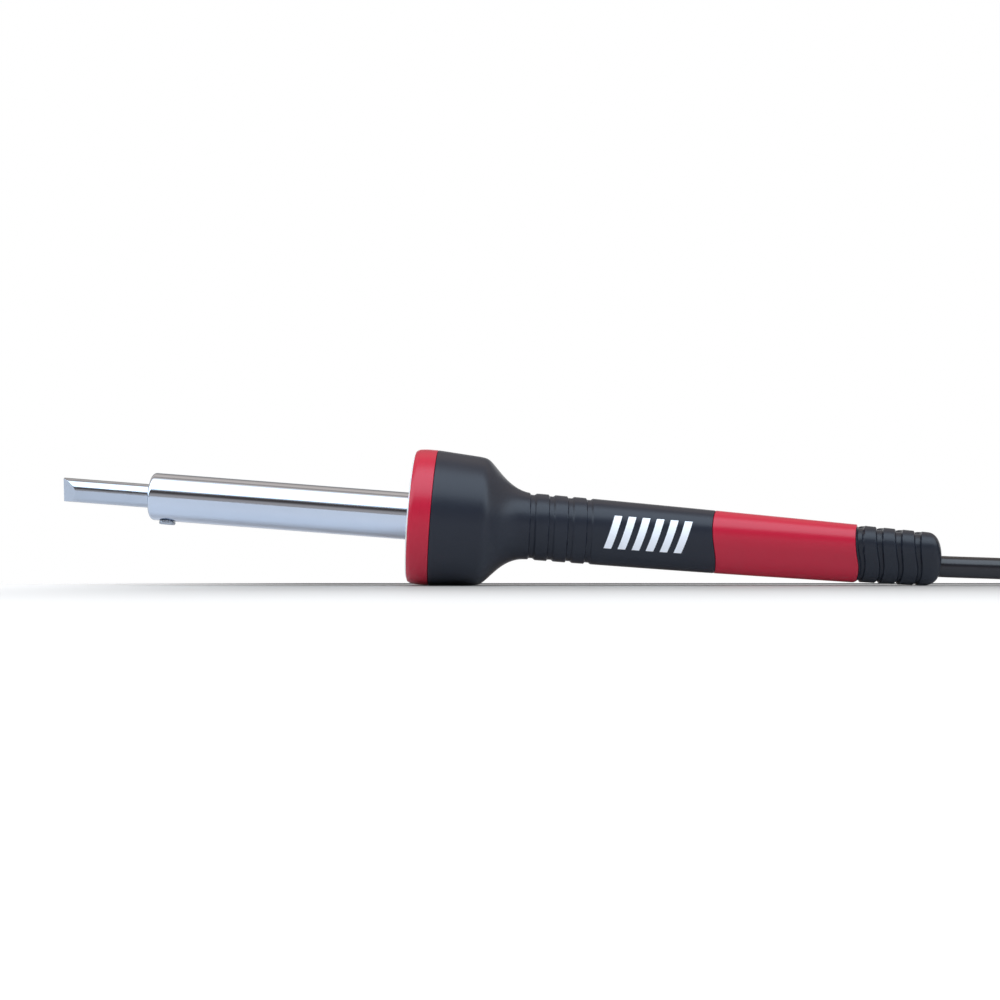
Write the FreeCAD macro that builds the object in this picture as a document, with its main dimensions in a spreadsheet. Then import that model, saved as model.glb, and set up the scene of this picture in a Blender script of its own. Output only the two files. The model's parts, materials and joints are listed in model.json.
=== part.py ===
import FreeCAD, Part
import Sketcher
import math
import os

# Soldering iron for stained glass work: a quarter inch chisel tip held by one screw in a half inch steel
# barrel, a lit ring round the barrel's root, a soft black grip over a red handle, and a mains lead.
#
# The iron is drawn along its own axis: +X from the tip's working edge (x = 0) to the lead, +Z up. One
# placement then tilts it onto the bench, so that the shoulder behind the lit ring and the last rib of the
# strain relief touch the bench. The lead, its hank and its plug are drawn straight on the bench.

doc = FreeCAD.newDocument("soldering_iron")
sheet = doc.addObject("Spreadsheet::Sheet", "dims")
V = FreeCAD.Vector
UP = V(0, 0, 1)
ALONG = V(1, 0, 0)

DIMENSIONS = [
    ("tip_radius", 3.175), ("tip_length", 65.0), ("chisel_length", 3.9), ("chisel_edge", 0.9),
    ("chisel_turn", 18.0),
    ("barrel_radius", 6.35), ("barrel_wall", 0.5), ("barrel_front", 23.7), ("barrel_rear", 101.7),
    ("running_gap", 0.05), ("seat_gap", 0.03), ("nose_gap", 0.3),
    ("socket_front", 24.4), ("socket_length", 11.0),
    ("screw_place", 28.2), ("screw_radius", 1.5), ("screw_head_radius", 2.15), ("screw_head_height", 0.95),
    ("screw_slot", 0.6), ("screw_end_gap", 0.15),
    ("core_front", 36.5), ("core_length", 50.0), ("core_inner", 3.6), ("core_outer", 4.3),
    ("wire_radius", 0.3), ("winding_turns", 12), ("mica_inner", 5.0), ("mica_outer", 5.3),
    ("flange_radius", 13.0), ("flange_thickness", 1.0), ("flange_bolt_circle", 9.6),
    ("flange_screw_radius", 1.4), ("flange_screw_head", 2.4), ("flange_screw_length", 8.3),
    ("baffle_thickness", 2.0),
    ("ring_front", 93.6), ("ring_rear", 99.3), ("head_radius", 18.15), ("ring_wall", 1.1),
    ("lens_front", 92.7), ("lens_rear", 95.0), ("board_front", 96.1), ("board_thickness", 1.4),
    ("led_count", 3), ("led_circle", 11.6), ("led_length", 3.5), ("led_width", 2.8), ("led_height", 0.8),
    ("shoulder_place", 111.9), ("shoulder_radius", 17.2), ("neck_place", 124.4), ("neck_radius", 8.98),
    ("groove_first", 125.9), ("groove_pitch", 5.0), ("groove_width", 1.95), ("groove_depth", 0.4),
    ("grip_seam", 174.9), ("seam_dip", 1.7), ("seam_lean", 2.0), ("grip_bore", 6.0), ("grip_liner", 5.95),
    ("handle_end", 212.85), ("relief_seam_dip", 1.8), ("relief_seam_lean", 4.0),
    ("head_wall", 1.9), ("cup_length", 5.4), ("cup_wall", 2.0), ("core_bore", 4.9),
    ("rear_bore", 6.0), ("rear_bore_front", 180.0),
    ("rib_pitch", 5.08), ("rib_count", 3), ("rib_first", 217.6), ("rib_notch", 1.3), ("rib_depth", 0.6),
    ("relief_end", 234.8), ("relief_start", 206.0), ("relief_thin", 0.08), ("relief_taper", 0.0095),
    ("relief_front", 203.0), ("relief_shank", 5.95), ("relief_dome", 3.2),
    ("cord_diameter", 5.8), ("cord_drop", 2.6), ("cord_start", 186.0),
    ("hank_start", 188.0), ("hank_straight", 62.8), ("hank_middle", 8.0),
    ("hank_layers", 3), ("hank_lift", 0.5), ("tie_width", 9.0), ("tie_thickness", 0.5),
    ("plug_length", 32.0), ("plug_width", 26.0), ("plug_height", 21.0), ("blade_length", 17.4),
    ("blade_width", 6.3), ("blade_thickness", 1.5), ("blade_spacing", 12.7), ("earth_radius", 2.38),
    ("earth_length", 20.6), ("earth_offset", 11.9), ("plug_turn", 208.0), ("plug_x", 196.0),
    ("plug_y", 7.0), ("plug_fillet", 3.0),
    ("sleeve_length", 23.0), ("sleeve_front", 6.0), ("sleeve_rear", 4.0),
    ("blade_drop", 4.5), ("lead_radius", 0.9), ("splice_radius", 1.5), ("splice_length", 9.0),
    ("clamp_length", 7.0), ("clamp_width", 8.0), ("clamp_thickness", 1.2), ("clamp_place", 191.0),
    ("rest_rib", 231.6),
]
for row, (name, value) in enumerate(DIMENSIONS, start=1):
    sheet.set(f"A{row}", name)
    sheet.set(f"B{row}", str(value))
    sheet.setAlias(f"B{row}", name)
doc.recompute()


def size(name):
    """Value of one cell of the sheet, in millimetres, degrees or pieces."""
    return float(sheet.get(name))


def cell(expression):
    """Expression with every alias of the sheet written out as dims.alias."""
    words = []
    for word in expression.replace("(", "( ").replace(")", " )").split():
        words.append("dims." + word if word in ALIASES else word)
    return " ".join(words)


ALIASES = {name for name, _ in DIMENSIONS}
SUBPARTS = []


def keep(item, label):
    """Name one sub-part and list it for export."""
    item.Label = label
    SUBPARTS.append(item)
    return item


def origin_plane(body, role):
    return next(plane for plane in body.Origin.OriginFeatures if plane.Role == role)


def turned(label, outline):
    """Body turned about the iron's axis from a closed outline of (place, radius) expressions."""
    body = doc.addObject("PartDesign::Body", label + "_body")
    sketch = body.newObject("Sketcher::SketchObject", label + "_outline")
    sketch.AttachmentSupport = (origin_plane(body, "XZ_Plane"), [""])
    sketch.MapMode = "FlatFace"
    corners = [V(value_of(place), value_of(radius), 0) for place, radius in outline]
    for start, end in zip(corners, corners[1:] + corners[:1]):
        sketch.addGeometry(Part.LineSegment(start, end), False)
    bind_corners(sketch, outline)
    spin = body.newObject("PartDesign::Revolution", label + "_turn")
    spin.Profile = sketch
    spin.ReferenceAxis = (sketch, ["H_Axis"])
    spin.Angle = 360
    doc.recompute()
    return keep(body, label)


def value_of(expression):
    """Number that a sheet expression stands for."""
    holder = doc.getObject("reckoner") or doc.addObject("App::FeaturePython", "reckoner")
    if "number" not in holder.PropertiesList:
        holder.addProperty("App::PropertyFloat", "number")
    holder.setExpression("number", cell(expression))
    holder.recompute()
    return float(holder.number)


def bind_corners(sketch, outline):
    """Join the outline's lines end to end and bind every corner to the sheet."""
    count = len(outline)
    for index in range(count):
        sketch.addConstraint(Sketcher.Constraint("Coincident", index, 2, (index + 1) % count, 1))
    for index, (place, radius) in enumerate(outline):
        for kind, expression in (("DistanceX", place), ("DistanceY", radius)):
            number = sketch.addConstraint(
                Sketcher.Constraint(kind, -1, 1, index, 1, value_of(expression)))
            sketch.setExpression(f"Constraints[{number}]", cell(expression))


def rod(name, radius, length, base, direction=ALONG):
    """Part::Cylinder with radius and length bound to the sheet."""
    item = doc.addObject("Part::Cylinder", name)
    item.setExpression("Radius", cell(radius))
    item.setExpression("Height", cell(length))
    item.Placement = FreeCAD.Placement(base, FreeCAD.Rotation(UP, direction))
    return item


def block(name, length, width, height, base, rotation=FreeCAD.Rotation()):
    """Part::Box centred across Y and Z on its base point, running along its own X."""
    item = doc.addObject("Part::Box", name)
    item.setExpression("Length", cell(length))
    item.setExpression("Width", cell(width))
    item.setExpression("Height", cell(height))
    offset = rotation.multVec(V(0, -value_of(width) / 2, -value_of(height) / 2))
    item.Placement = FreeCAD.Placement(base + offset, rotation)
    return item


def cut(name, base, tool):
    item = doc.addObject("Part::Cut", name)
    item.Base, item.Tool = base, tool
    return item


def common(name, base, tool):
    item = doc.addObject("Part::Common", name)
    item.Base, item.Tool = base, tool
    return item


def joined(name, pieces):
    item = doc.addObject("Part::MultiFuse", name)
    item.Shapes = pieces
    return item


def group(name, pieces):
    """Several separate solids kept as one sub-part."""
    item = doc.addObject("Part::Compound", name)
    item.Links = pieces
    return item


def shaped(name, shape):
    item = doc.addObject("Part::Feature", name)
    item.Shape = shape
    return item


# Tip and barrel ---------------------------------------------------------------------------------

def make_tip():
    """Quarter inch rod with two flats that meet in a blunt chisel edge."""
    blank = rod("tip_blank", "tip_radius", "tip_length", V(0, 0, 0))
    rise = size("tip_radius") - size("chisel_edge") / 2
    slope = math.degrees(math.atan2(rise, size("chisel_length")))
    turn = FreeCAD.Rotation(ALONG, size("chisel_turn"))
    result = blank
    for side in (1, -1):
        lean = FreeCAD.Rotation(UP, side * slope)
        wedge = doc.addObject("Part::Box", f"tip_wedge_{side}")
        wedge.Length, wedge.Width, wedge.Height = 14, 8, 14
        corner = V(-4, 0 if side > 0 else -8, -7)
        at_edge = V(0, side * size("chisel_edge") / 2, 0)
        wedge.Placement = FreeCAD.Placement(turn.multVec(at_edge + lean.multVec(corner)), turn * lean)
        result = cut(f"tip_cut_{side}", result, wedge)
    keep(result, "chisel_tip")


def make_barrel():
    """Drawn steel tube with a rounded nose and a clearance hole for the screw."""
    shell = turned("barrel_shell", [
        ("barrel_front", "tip_radius + nose_gap"), ("barrel_front", "barrel_radius - 1.0"),
        ("barrel_front + 0.3", "barrel_radius - 0.35"), ("barrel_front + 1.0", "barrel_radius"),
        ("barrel_rear", "barrel_radius"), ("barrel_rear", "barrel_radius - barrel_wall"),
        ("barrel_front + barrel_wall", "barrel_radius - barrel_wall"),
        ("barrel_front + barrel_wall", "tip_radius + nose_gap")])
    SUBPARTS.remove(shell)
    hole = rod("barrel_screw_hole", "screw_radius + 0.1", "barrel_radius", V(size("screw_place"), 0, 0),
               V(0, 0, -1))
    keep(cut("barrel_bored", shell, hole), "barrel")

    collar = turned("collar", [
        ("socket_front", "tip_radius + running_gap"),
        ("socket_front", "barrel_radius - barrel_wall - seat_gap"),
        ("socket_front + socket_length", "barrel_radius - barrel_wall - seat_gap"),
        ("socket_front + socket_length", "tip_radius + running_gap")])
    SUBPARTS.remove(collar)
    thread = rod("collar_screw_hole", "screw_radius + running_gap", "barrel_radius",
                 V(size("screw_place"), 0, 0), V(0, 0, -1))
    keep(cut("collar_bored", collar, thread), "tip_socket")


def make_retaining_screw():
    """Slotted screw under the barrel that stops just short of the tip."""
    x = size("screw_place")
    low = size("barrel_radius")
    top = size("tip_radius") + size("screw_end_gap")
    shank = rod("screw_shank", "screw_radius", "barrel_radius - tip_radius - screw_end_gap + 0.2",
                V(x, 0, -top), V(0, 0, -1))
    head = rod("screw_head", "screw_head_radius", "screw_head_height", V(x, 0, -low - 0.05), V(0, 0, -1))
    slot = doc.addObject("Part::Box", "screw_slot_box")
    slot.setExpression("Length", "dims.screw_head_radius * 2.4")
    slot.setExpression("Width", "dims.screw_slot")
    slot.setExpression("Height", "dims.screw_head_height * 0.6")
    slot.Placement = FreeCAD.Placement(
        V(x, 0, -low - size("screw_head_height") * 0.45), FreeCAD.Rotation(UP, 25))
    slot.Placement.move(FreeCAD.Rotation(UP, 25).multVec(
        V(-size("screw_head_radius") * 1.2, -size("screw_slot") / 2, -size("screw_head_height") * 0.6)))
    keep(cut("screw_slotted", joined("screw_whole", [shank, head]), slot), "retaining_screw")


def make_heater():
    """Ceramic core, its resistance winding and the mica sleeve that keeps it off the barrel."""
    turned("heater_core", [
        ("core_front", "core_inner"), ("core_front", "core_outer"),
        ("core_front + core_length", "core_outer"), ("core_front + core_length", "core_inner")])
    turns = []
    step = (size("core_length") - 6) / (size("winding_turns") - 1)
    for index in range(int(size("winding_turns"))):
        ring = doc.addObject("Part::Torus", f"winding_turn_{index}")
        ring.setExpression("Radius1", "dims.core_outer + dims.wire_radius + 0.05")
        ring.setExpression("Radius2", "dims.wire_radius")
        ring.Placement = FreeCAD.Placement(
            V(size("core_front") + 3 + index * step, 0, 0), FreeCAD.Rotation(UP, ALONG))
        turns.append(ring)
    keep(group("winding_group", turns), "heater_winding")
    turned("mica_sleeve", [
        ("core_front", "mica_inner"), ("core_front", "mica_outer"),
        ("core_front + core_length + 4", "mica_outer"), ("core_front + core_length + 4", "mica_inner")])


def around(count, radius, first_angle=90.0):
    """Evenly spaced points round the axis, as (angle, y, z)."""
    for index in range(count):
        angle = first_angle + 360.0 * index / count
        yield angle, radius * math.cos(math.radians(angle)), radius * math.sin(math.radians(angle))


def make_flange():
    """Steel flange on the barrel's root, its three screws, and the insulating disc behind it."""
    x = size("barrel_rear")
    plate = turned("flange_plate", [
        ("barrel_rear - flange_thickness", "barrel_radius + seat_gap"),
        ("barrel_rear - flange_thickness", "flange_radius"), ("barrel_rear", "flange_radius"),
        ("barrel_rear", "barrel_radius + seat_gap")])
    disc = turned("baffle_disc", [
        ("barrel_rear + 0.05", "core_outer"), ("barrel_rear + 0.05", "flange_radius"),
        ("barrel_rear + 0.05 + baffle_thickness", "flange_radius"),
        ("barrel_rear + 0.05 + baffle_thickness", "core_outer")])
    SUBPARTS.remove(plate)
    SUBPARTS.remove(disc)
    holes, screws = [], []
    start = x - size("flange_thickness")
    for number, (_, y, z) in enumerate(around(3, size("flange_bolt_circle"), 30.0)):
        holes.append(rod(f"flange_hole_{number}", "flange_screw_radius + 0.1", "flange_screw_length",
                         V(start - 1, y, z)))
        shank = rod(f"flange_shank_{number}", "flange_screw_radius", "flange_screw_length",
                    V(start - 0.1, y, z))
        head = rod(f"flange_head_{number}", "flange_screw_head", "flange_thickness + 0.4",
                   V(start - 1.45, y, z))
        screws.append(joined(f"flange_screw_{number}", [shank, head]))
    drill = joined("flange_drill", holes)
    keep(cut("flange_bored", plate, drill), "barrel_flange")
    keep(cut("baffle_bored", disc, drill), "heat_baffle")
    keep(group("flange_screw_group", screws), "flange_screws")


# Lit ring ---------------------------------------------------------------------------------------

def make_lit_ring():
    """Clear lens round the barrel, red ring round the lens, and the board with three lamps."""
    turned("halo_lens", [
        ("lens_front", "barrel_radius + 0.15"), ("lens_front", "barrel_radius + 2.4"),
        ("lens_front + 0.25", "barrel_radius + 6.5"), ("lens_front + 0.6", "head_radius - 2.2"),
        ("ring_front + 0.3", "head_radius - ring_wall - 0.1"),
        ("lens_rear", "head_radius - ring_wall - 0.1"), ("lens_rear", "barrel_radius + 0.15")])
    turned("red_ring", [
        ("ring_front", "head_radius - ring_wall"), ("ring_front", "head_radius - 0.85"),
        ("ring_front + 0.15", "head_radius - 0.5"), ("ring_front + 0.45", "head_radius - 0.2"),
        ("ring_front + 1.0", "head_radius - 0.04"), ("ring_front + 1.8", "head_radius"),
        ("ring_rear", "head_radius"), ("ring_rear", "head_radius - ring_wall - 1.0"),
        ("lens_rear + 0.05", "head_radius - ring_wall - 1.0"),
        ("lens_rear + 0.05", "head_radius - ring_wall")])
    turned("led_board", [
        ("board_front", "barrel_radius + 1.2"), ("board_front", "head_radius - ring_wall - 1.2"),
        ("board_front + board_thickness", "head_radius - ring_wall - 1.2"),
        ("board_front + board_thickness", "barrel_radius + 1.2")])
    lamps = []
    for angle, y, z in around(int(size("led_count")), size("led_circle")):
        base = V(size("board_front") - size("led_height") - 0.02, y, z)
        lamps.append(block(f"led_{int(angle)}", "led_height", "led_length", "led_width", base,
                           FreeCAD.Rotation(ALONG, angle - 90)))
    keep(group("led_group", lamps), "leds")
    behind = size("board_front") + size("board_thickness") + 0.02
    keep(block("dropper", "1.1", "6.3", "3.0", V(behind, 0, -12.5)), "led_resistor")
    keep(block("diode", "1.1", "4.4", "2.6", V(behind, 10.5, -7.0), FreeCAD.Rotation(ALONG, 40)), "led_diode")


# Handle -----------------------------------------------------------------------------------------

SECTION_POINTS = 36


def lobed_wire(x, radius, lobe, drop=0.0):
    """Closed smooth section: a circle drawn out into three soft corners, one of them straight down."""
    points = []
    for index in range(SECTION_POINTS):
        angle = 2 * math.pi * index / SECTION_POINTS
        reach = radius * (1 + lobe * math.cos(3 * (angle + math.pi / 2)))
        points.append(V(x, reach * math.cos(angle), reach * math.sin(angle) - drop))
    curve = Part.BSplineCurve()
    curve.interpolate(points, PeriodicFlag=True)
    return Part.Wire([curve.toShape()])


def handle_radius(x):
    """Mean radius of the handle: a slight taper with a faint belly in its middle."""
    share = (x - 128.4) / (210.2 - 128.4)
    return 8.93 - 1.14 * share + 0.12 * math.sin(math.pi * share)


def handle_lobe(x):
    """How far the section is drawn into three corners: nearly round at the neck, more at the rear."""
    return 0.031 + 0.00086 * (x - 128.4)


def handle_blank(first, last, count=6, shrink=0.0, taper=0.0):
    """Solid of the handle's outer shape between two places, slimmer by shrink and a taper."""
    places = [first + (last - first) * index / (count - 1) for index in range(count)]
    wires = [lobed_wire(x, handle_radius(x) - shrink - taper * (x - first), handle_lobe(x))
             for x in places]
    return Part.makeLoft(wires, True, False)


def seam_cutter(name, place, dip, lean, radius):
    """Upright cylinder whose rear wall is the curved seam between two pieces of the handle."""
    bend = radius ** 2 / (2 * dip)
    wall = Part.makeCylinder(bend, 60, V(0, 0, -30))
    ahead = Part.makeBox(150, 2 * bend, 60, V(-150, -bend, -30))
    tool = wall.fuse(ahead)
    tool.Placement = FreeCAD.Placement(V(place - bend, 0, 0), FreeCAD.Rotation(V(0, 1, 0), lean))
    return shaped(name, tool)


def make_grip():
    """Soft black piece: the round head behind the ring, the ringed neck and the front of the handle."""
    x0, r0 = size("ring_rear") + 0.02, size("head_radius")
    xs, rs = size("shoulder_place"), size("shoulder_radius")
    xn, rn = size("neck_place"), size("neck_radius")
    start = V(x0, 0, 0)
    flank = Part.LineSegment(V(x0, r0, 0), V(xs, rs, 0))
    shoulder = Part.Arc(V(xs, rs, 0), V(xs + 1.75, rs - 0.96, 0), V(xs + 3.1, rs - 2.9, 0))
    scoop = Part.BSplineCurve()
    scoop.interpolate([V(xs + 3.1, rs - 2.9, 0), V(xs + 5.9, rs - 5.4, 0), V(xs + 9.2, rs - 7.27, 0),
                       V(xn, rn, 0)], InitialTangent=V(0.62, -1, 0), FinalTangent=V(1, -0.22, 0))
    profile = Part.Wire([
        Part.LineSegment(start, V(x0, r0, 0)).toShape(), flank.toShape(), shoulder.toShape(),
        scoop.toShape(), Part.LineSegment(V(xn, rn, 0), V(xn, 0, 0)).toShape(),
        Part.LineSegment(V(xn, 0, 0), start).toShape()])
    head = Part.Face(profile).revolve(V(0, 0, 0), ALONG, 360)
    sleeve_start = xn
    round_start = lobed_wire(sleeve_start, rn, 0.03)
    places = [128.4, 143.0, 158.0, 173.0, 180.0]
    wires = [round_start] + [lobed_wire(x, handle_radius(x), handle_lobe(x)) for x in places]
    sleeve = Part.makeLoft(wires, True, False)
    blank = head.fuse(sleeve)
    for index in range(4):
        middle = size("groove_first") + index * size("groove_pitch")
        outer = Part.makeCylinder(14, size("groove_width"), V(middle - size("groove_width") / 2, 0, 0), ALONG)
        inner = handle_blank(middle - 2.5, middle + 2.5, 2, size("groove_depth"))
        blank = blank.cut(outer.cut(inner))
    cavity_wall = size("head_wall")
    cavity_front = Part.makeCone(r0 - cavity_wall, rs - cavity_wall - 0.1, xs - 2.5 - x0 + 1, V(x0 - 1, 0, 0),
                                 ALONG)
    bore = Part.makeCylinder(size("grip_bore"), 90, V(xs - 3, 0, 0), ALONG)
    blank = blank.cut(cavity_front.fuse(bore))
    grip = shaped("grip_blank", blank)
    seam = seam_cutter("grip_seam_tool", size("grip_seam"), size("seam_dip"), -size("seam_lean"),
                       handle_radius(size("grip_seam")))
    keep(common("grip_trimmed", grip, seam), "front_grip")
    return seam


def make_handle_core(seam):
    """Red handle: seen behind the grip, and inside it a liner tube with a cup for the barrel's flange."""
    shown = handle_blank(168.0, 218.0, 6)
    shown_blank = shaped("core_shown_blank", shown)
    rear = seam_cutter("core_seam_tool", size("handle_end"), size("relief_seam_dip"),
                       -size("relief_seam_lean"), handle_radius(size("handle_end")))
    trimmed = common("core_rear_trim", shown_blank, rear)
    gap_seam = seam_cutter("core_front_tool", size("grip_seam") + 0.04, size("seam_dip"),
                           -size("seam_lean"), handle_radius(size("grip_seam")))
    visible = cut("core_front_trim", trimmed, gap_seam)
    doc.recompute()
    baffle_rear = size("barrel_rear") + 0.1 + size("baffle_thickness")
    cup_place = V(baffle_rear, 0, 0)
    cup = Part.makeCylinder(size("flange_radius") + size("cup_wall"), size("cup_length"), cup_place, ALONG)
    liner = Part.makeCylinder(size("grip_liner"), 80, V(baffle_rear, 0, 0), ALONG)
    body = cup.fuse(liner).fuse(visible.Shape)
    body = body.cut(Part.makeCylinder(size("core_bore"), 140, V(baffle_rear - 1, 0, 0), ALONG))
    body = body.cut(Part.makeCylinder(size("rear_bore"), 40, V(size("rear_bore_front"), 0, 0), ALONG))
    for _, y, z in around(3, size("flange_bolt_circle"), 30.0):
        hole_place = V(baffle_rear - 1, y, z)
        body = body.cut(Part.makeCylinder(size("flange_screw_radius") + 0.02, 9, hole_place, ALONG))
    keep(shaped("core_whole", body.removeSplitter()), "handle_core")
    return rear


def make_strain_relief(rear):
    """Ribbed rubber sleeve at the handle's end, with a shank inside it and an off-centre bore."""
    end = size("relief_end")
    drop = size("cord_drop")
    start, thin, taper = size("relief_start"), size("relief_thin"), size("relief_taper")
    body = handle_blank(start, end, 6, thin, taper)
    rim = [edge for edge in body.Edges
           if abs(edge.BoundBox.XMin - end) < 0.01 and edge.BoundBox.XLength < 0.01]
    body = body.makeFillet(size("relief_dome"), rim)
    for index in range(int(size("rib_count"))):
        place = size("rib_first") + index * size("rib_pitch")
        ring = Part.makeCylinder(14, size("rib_notch"), V(place, 0, 0), ALONG)
        floor = size("rib_depth") + thin + taper * (place - start)
        body = body.cut(ring.cut(handle_blank(place - 1, place + 3, 2, floor)))
    trim = seam_cutter("relief_seam_tool", size("handle_end") + 0.04, size("relief_seam_dip"),
                       -size("relief_seam_lean"), handle_radius(size("handle_end")))
    body = body.cut(trim.Shape)
    shank = Part.makeCylinder(size("relief_shank"), 14.0, V(size("relief_front"), 0, 0), ALONG)
    body = body.fuse(shank)
    body = body.cut(Part.makeCylinder(size("cord_diameter") / 2 + 0.02, 60, V(190, 0, -drop), ALONG))
    keep(shaped("relief_whole", body.removeSplitter()), "strain_relief")


def make_wiring():
    """Clamp, splices and leads inside the handle."""
    drop = size("cord_drop")
    radius = size("cord_diameter") / 2
    bar = V(size("clamp_place"), 0, -drop + radius + 0.65)
    keep(block("clamp_bar", "clamp_length", "clamp_width", "clamp_thickness", bar), "cord_clamp")
    screws = []
    for place in (192.6, 196.4):
        screws.append(shaped(f"clamp_screw_{int(place)}", Part.makeCylinder(
            1.1, 1.0, V(place, 0, -drop + radius + 1.3), UP)))
    keep(group("clamp_screw_group", screws), "clamp_screws")
    names = ["live_wire", "neutral_wire", "earth_wire"]
    spots = [(-2.9, 0.9), (2.9, 0.9), (0.0, -3.2)]
    for name, (y, z) in zip(names, spots):
        start = 112.0 if name == "earth_wire" else 158.0
        keep(shaped(name + "_run", Part.makeCylinder(
            size("lead_radius"), size("cord_start") - start, V(start, y, z), ALONG)),
             name)
    sleeves, leads = [], []
    for side, (y, z) in enumerate(spots[:2]):
        sleeves.append(shaped(f"splice_{side}", Part.makeCylinder(
            size("splice_radius"), size("splice_length"), V(148.9, y, z), ALONG)))
        leads.append(shaped(f"heater_lead_{side}", Part.makeCylinder(0.8, 56.0, V(92.8, y, z), ALONG)))
    keep(group("splice_group", sleeves), "crimp_splices")
    keep(group("heater_lead_group", leads), "heater_leads")
    led_leads = [shaped(f"led_lead_{side}", Part.makeCylinder(0.5, 42.0, V(106.5, y, 3.6), ALONG))
                 for side, y in enumerate((-1.2, 1.2))]
    keep(group("led_lead_group", led_leads), "led_leads")


# Mains lead, hank and plug ----------------------------------------------------------------------

def path_of(points, name):
    """Straight runs joined by tangent arcs, each arc as large as its two runs allow."""
    edges, radii = [], []
    here = points[0]
    for before, corner, after in zip(points, points[1:], points[2:]):
        into, out = (corner - before), (after - corner)
        turn = into.getAngle(out)
        reach = 0.45 * min(into.Length, out.Length)
        radii.append(reach / math.tan(turn / 2))
        into.normalize()
        out.normalize()
        start, end = corner - into * reach, corner + out * reach
        bisector = (out - into)
        bisector.normalize()
        sagitta = radii[-1] * (1 / math.cos(turn / 2) - 1)
        edges.append(Part.LineSegment(here, start).toShape())
        edges.append(Part.Arc(start, corner + bisector * sagitta, end).toShape())
        here = end
    edges.append(Part.LineSegment(here, points[-1]).toShape())
    print(name, "arc radii in mm:", [round(r, 1) for r in radii])
    return Part.Wire(edges)


def tube(points, diameter, name):
    """Round tube along a route, with its volume compared with its section times its length."""
    path = path_of(points, name)
    first = points[1] - points[0]
    profile = Part.Wire([Part.Circle(points[0], first, diameter / 2).toShape()])
    solid = path.makePipeShell([profile], True, False)
    expected = math.pi * diameter ** 2 / 4 * path.Length
    print(name, "length", round(path.Length, 1), "volume share", round(solid.Volume / expected, 4))
    if abs(solid.Volume / expected - 1) > 0.02:
        raise ValueError(name + " has a wrong volume")
    return solid, path.Length


def racetrack(half_width, straight, centre, low, high):
    """Upright solid whose plan is a straight-sided ring's outer shape."""
    x, y = centre
    left, right = x - straight / 2, x + straight / 2
    plan = Part.Wire([
        Part.LineSegment(V(left, y - half_width, low), V(right, y - half_width, low)).toShape(),
        Part.Arc(V(right, y - half_width, low), V(right + half_width, y, low),
                 V(right, y + half_width, low)).toShape(),
        Part.LineSegment(V(right, y + half_width, low), V(left, y + half_width, low)).toShape(),
        Part.Arc(V(left, y + half_width, low), V(left - half_width, y, low),
                 V(left, y - half_width, low)).toShape()])
    return Part.Face(plan).extrude(V(0, 0, high - low))


def make_lead(rest):
    """Mains lead from the clamp to the hank, laid on the bench, and the plug that lies on the hank."""
    diameter = size("cord_diameter")
    radius = diameter / 2
    drop = size("cord_drop")
    inside = rest.multVec(V(size("cord_start"), 0, -drop))
    exit_point = rest.multVec(V(size("relief_end") - 1.0, 0, -drop))
    run_y = size("hank_middle") - 4 * diameter
    low = radius + size("hank_lift")
    middle_x = size("hank_start") + size("hank_straight") / 2
    print("exit", exit_point, "inside", inside)
    route = [inside, (inside + exit_point) * 0.5 + V(0, 0.15, 0), exit_point + V(1, 0, 0.15),
             V(133.0, -0.3, 4.6), V(149.0, -2.4, 3.9), V(165.0, -7.0, 3.5), V(182.0, -12.4, low),
             V(198.0, run_y, low)]
    lead, _ = tube(route, diameter, "mains_cord")
    keep(shaped("mains_cord_tube", lead), "mains_cord")

    width = 4 * diameter + radius
    top = size("hank_lift") + size("hank_layers") * diameter
    middle = (middle_x, size("hank_middle"))
    outer = racetrack(width, size("hank_straight"), middle, size("hank_lift"), top)
    inner = racetrack(3 * diameter - radius, size("hank_straight"), middle, -1, top + 1)
    keep(shaped("hank_ring", outer.cut(inner)), "cord_hank")

    near = size("hank_middle") - 3.5 * diameter
    thick = size("tie_thickness")
    half = diameter + 0.05
    tie_low, tie_high = 0.0, top + thick
    band = Part.makeBox(size("tie_width"), 2 * (half + thick), tie_high - tie_low,
                        V(middle_x + 4, near - half - thick, tie_low))
    gap = Part.makeBox(size("tie_width") + 2, 2 * half, tie_high - thick - size("hank_lift") + 0.04,
                       V(middle_x + 3, near - half, size("hank_lift") - 0.02))
    keep(shaped("tie_band", band.cut(gap)), "cord_tie")
    make_plug(top, diameter)


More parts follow.
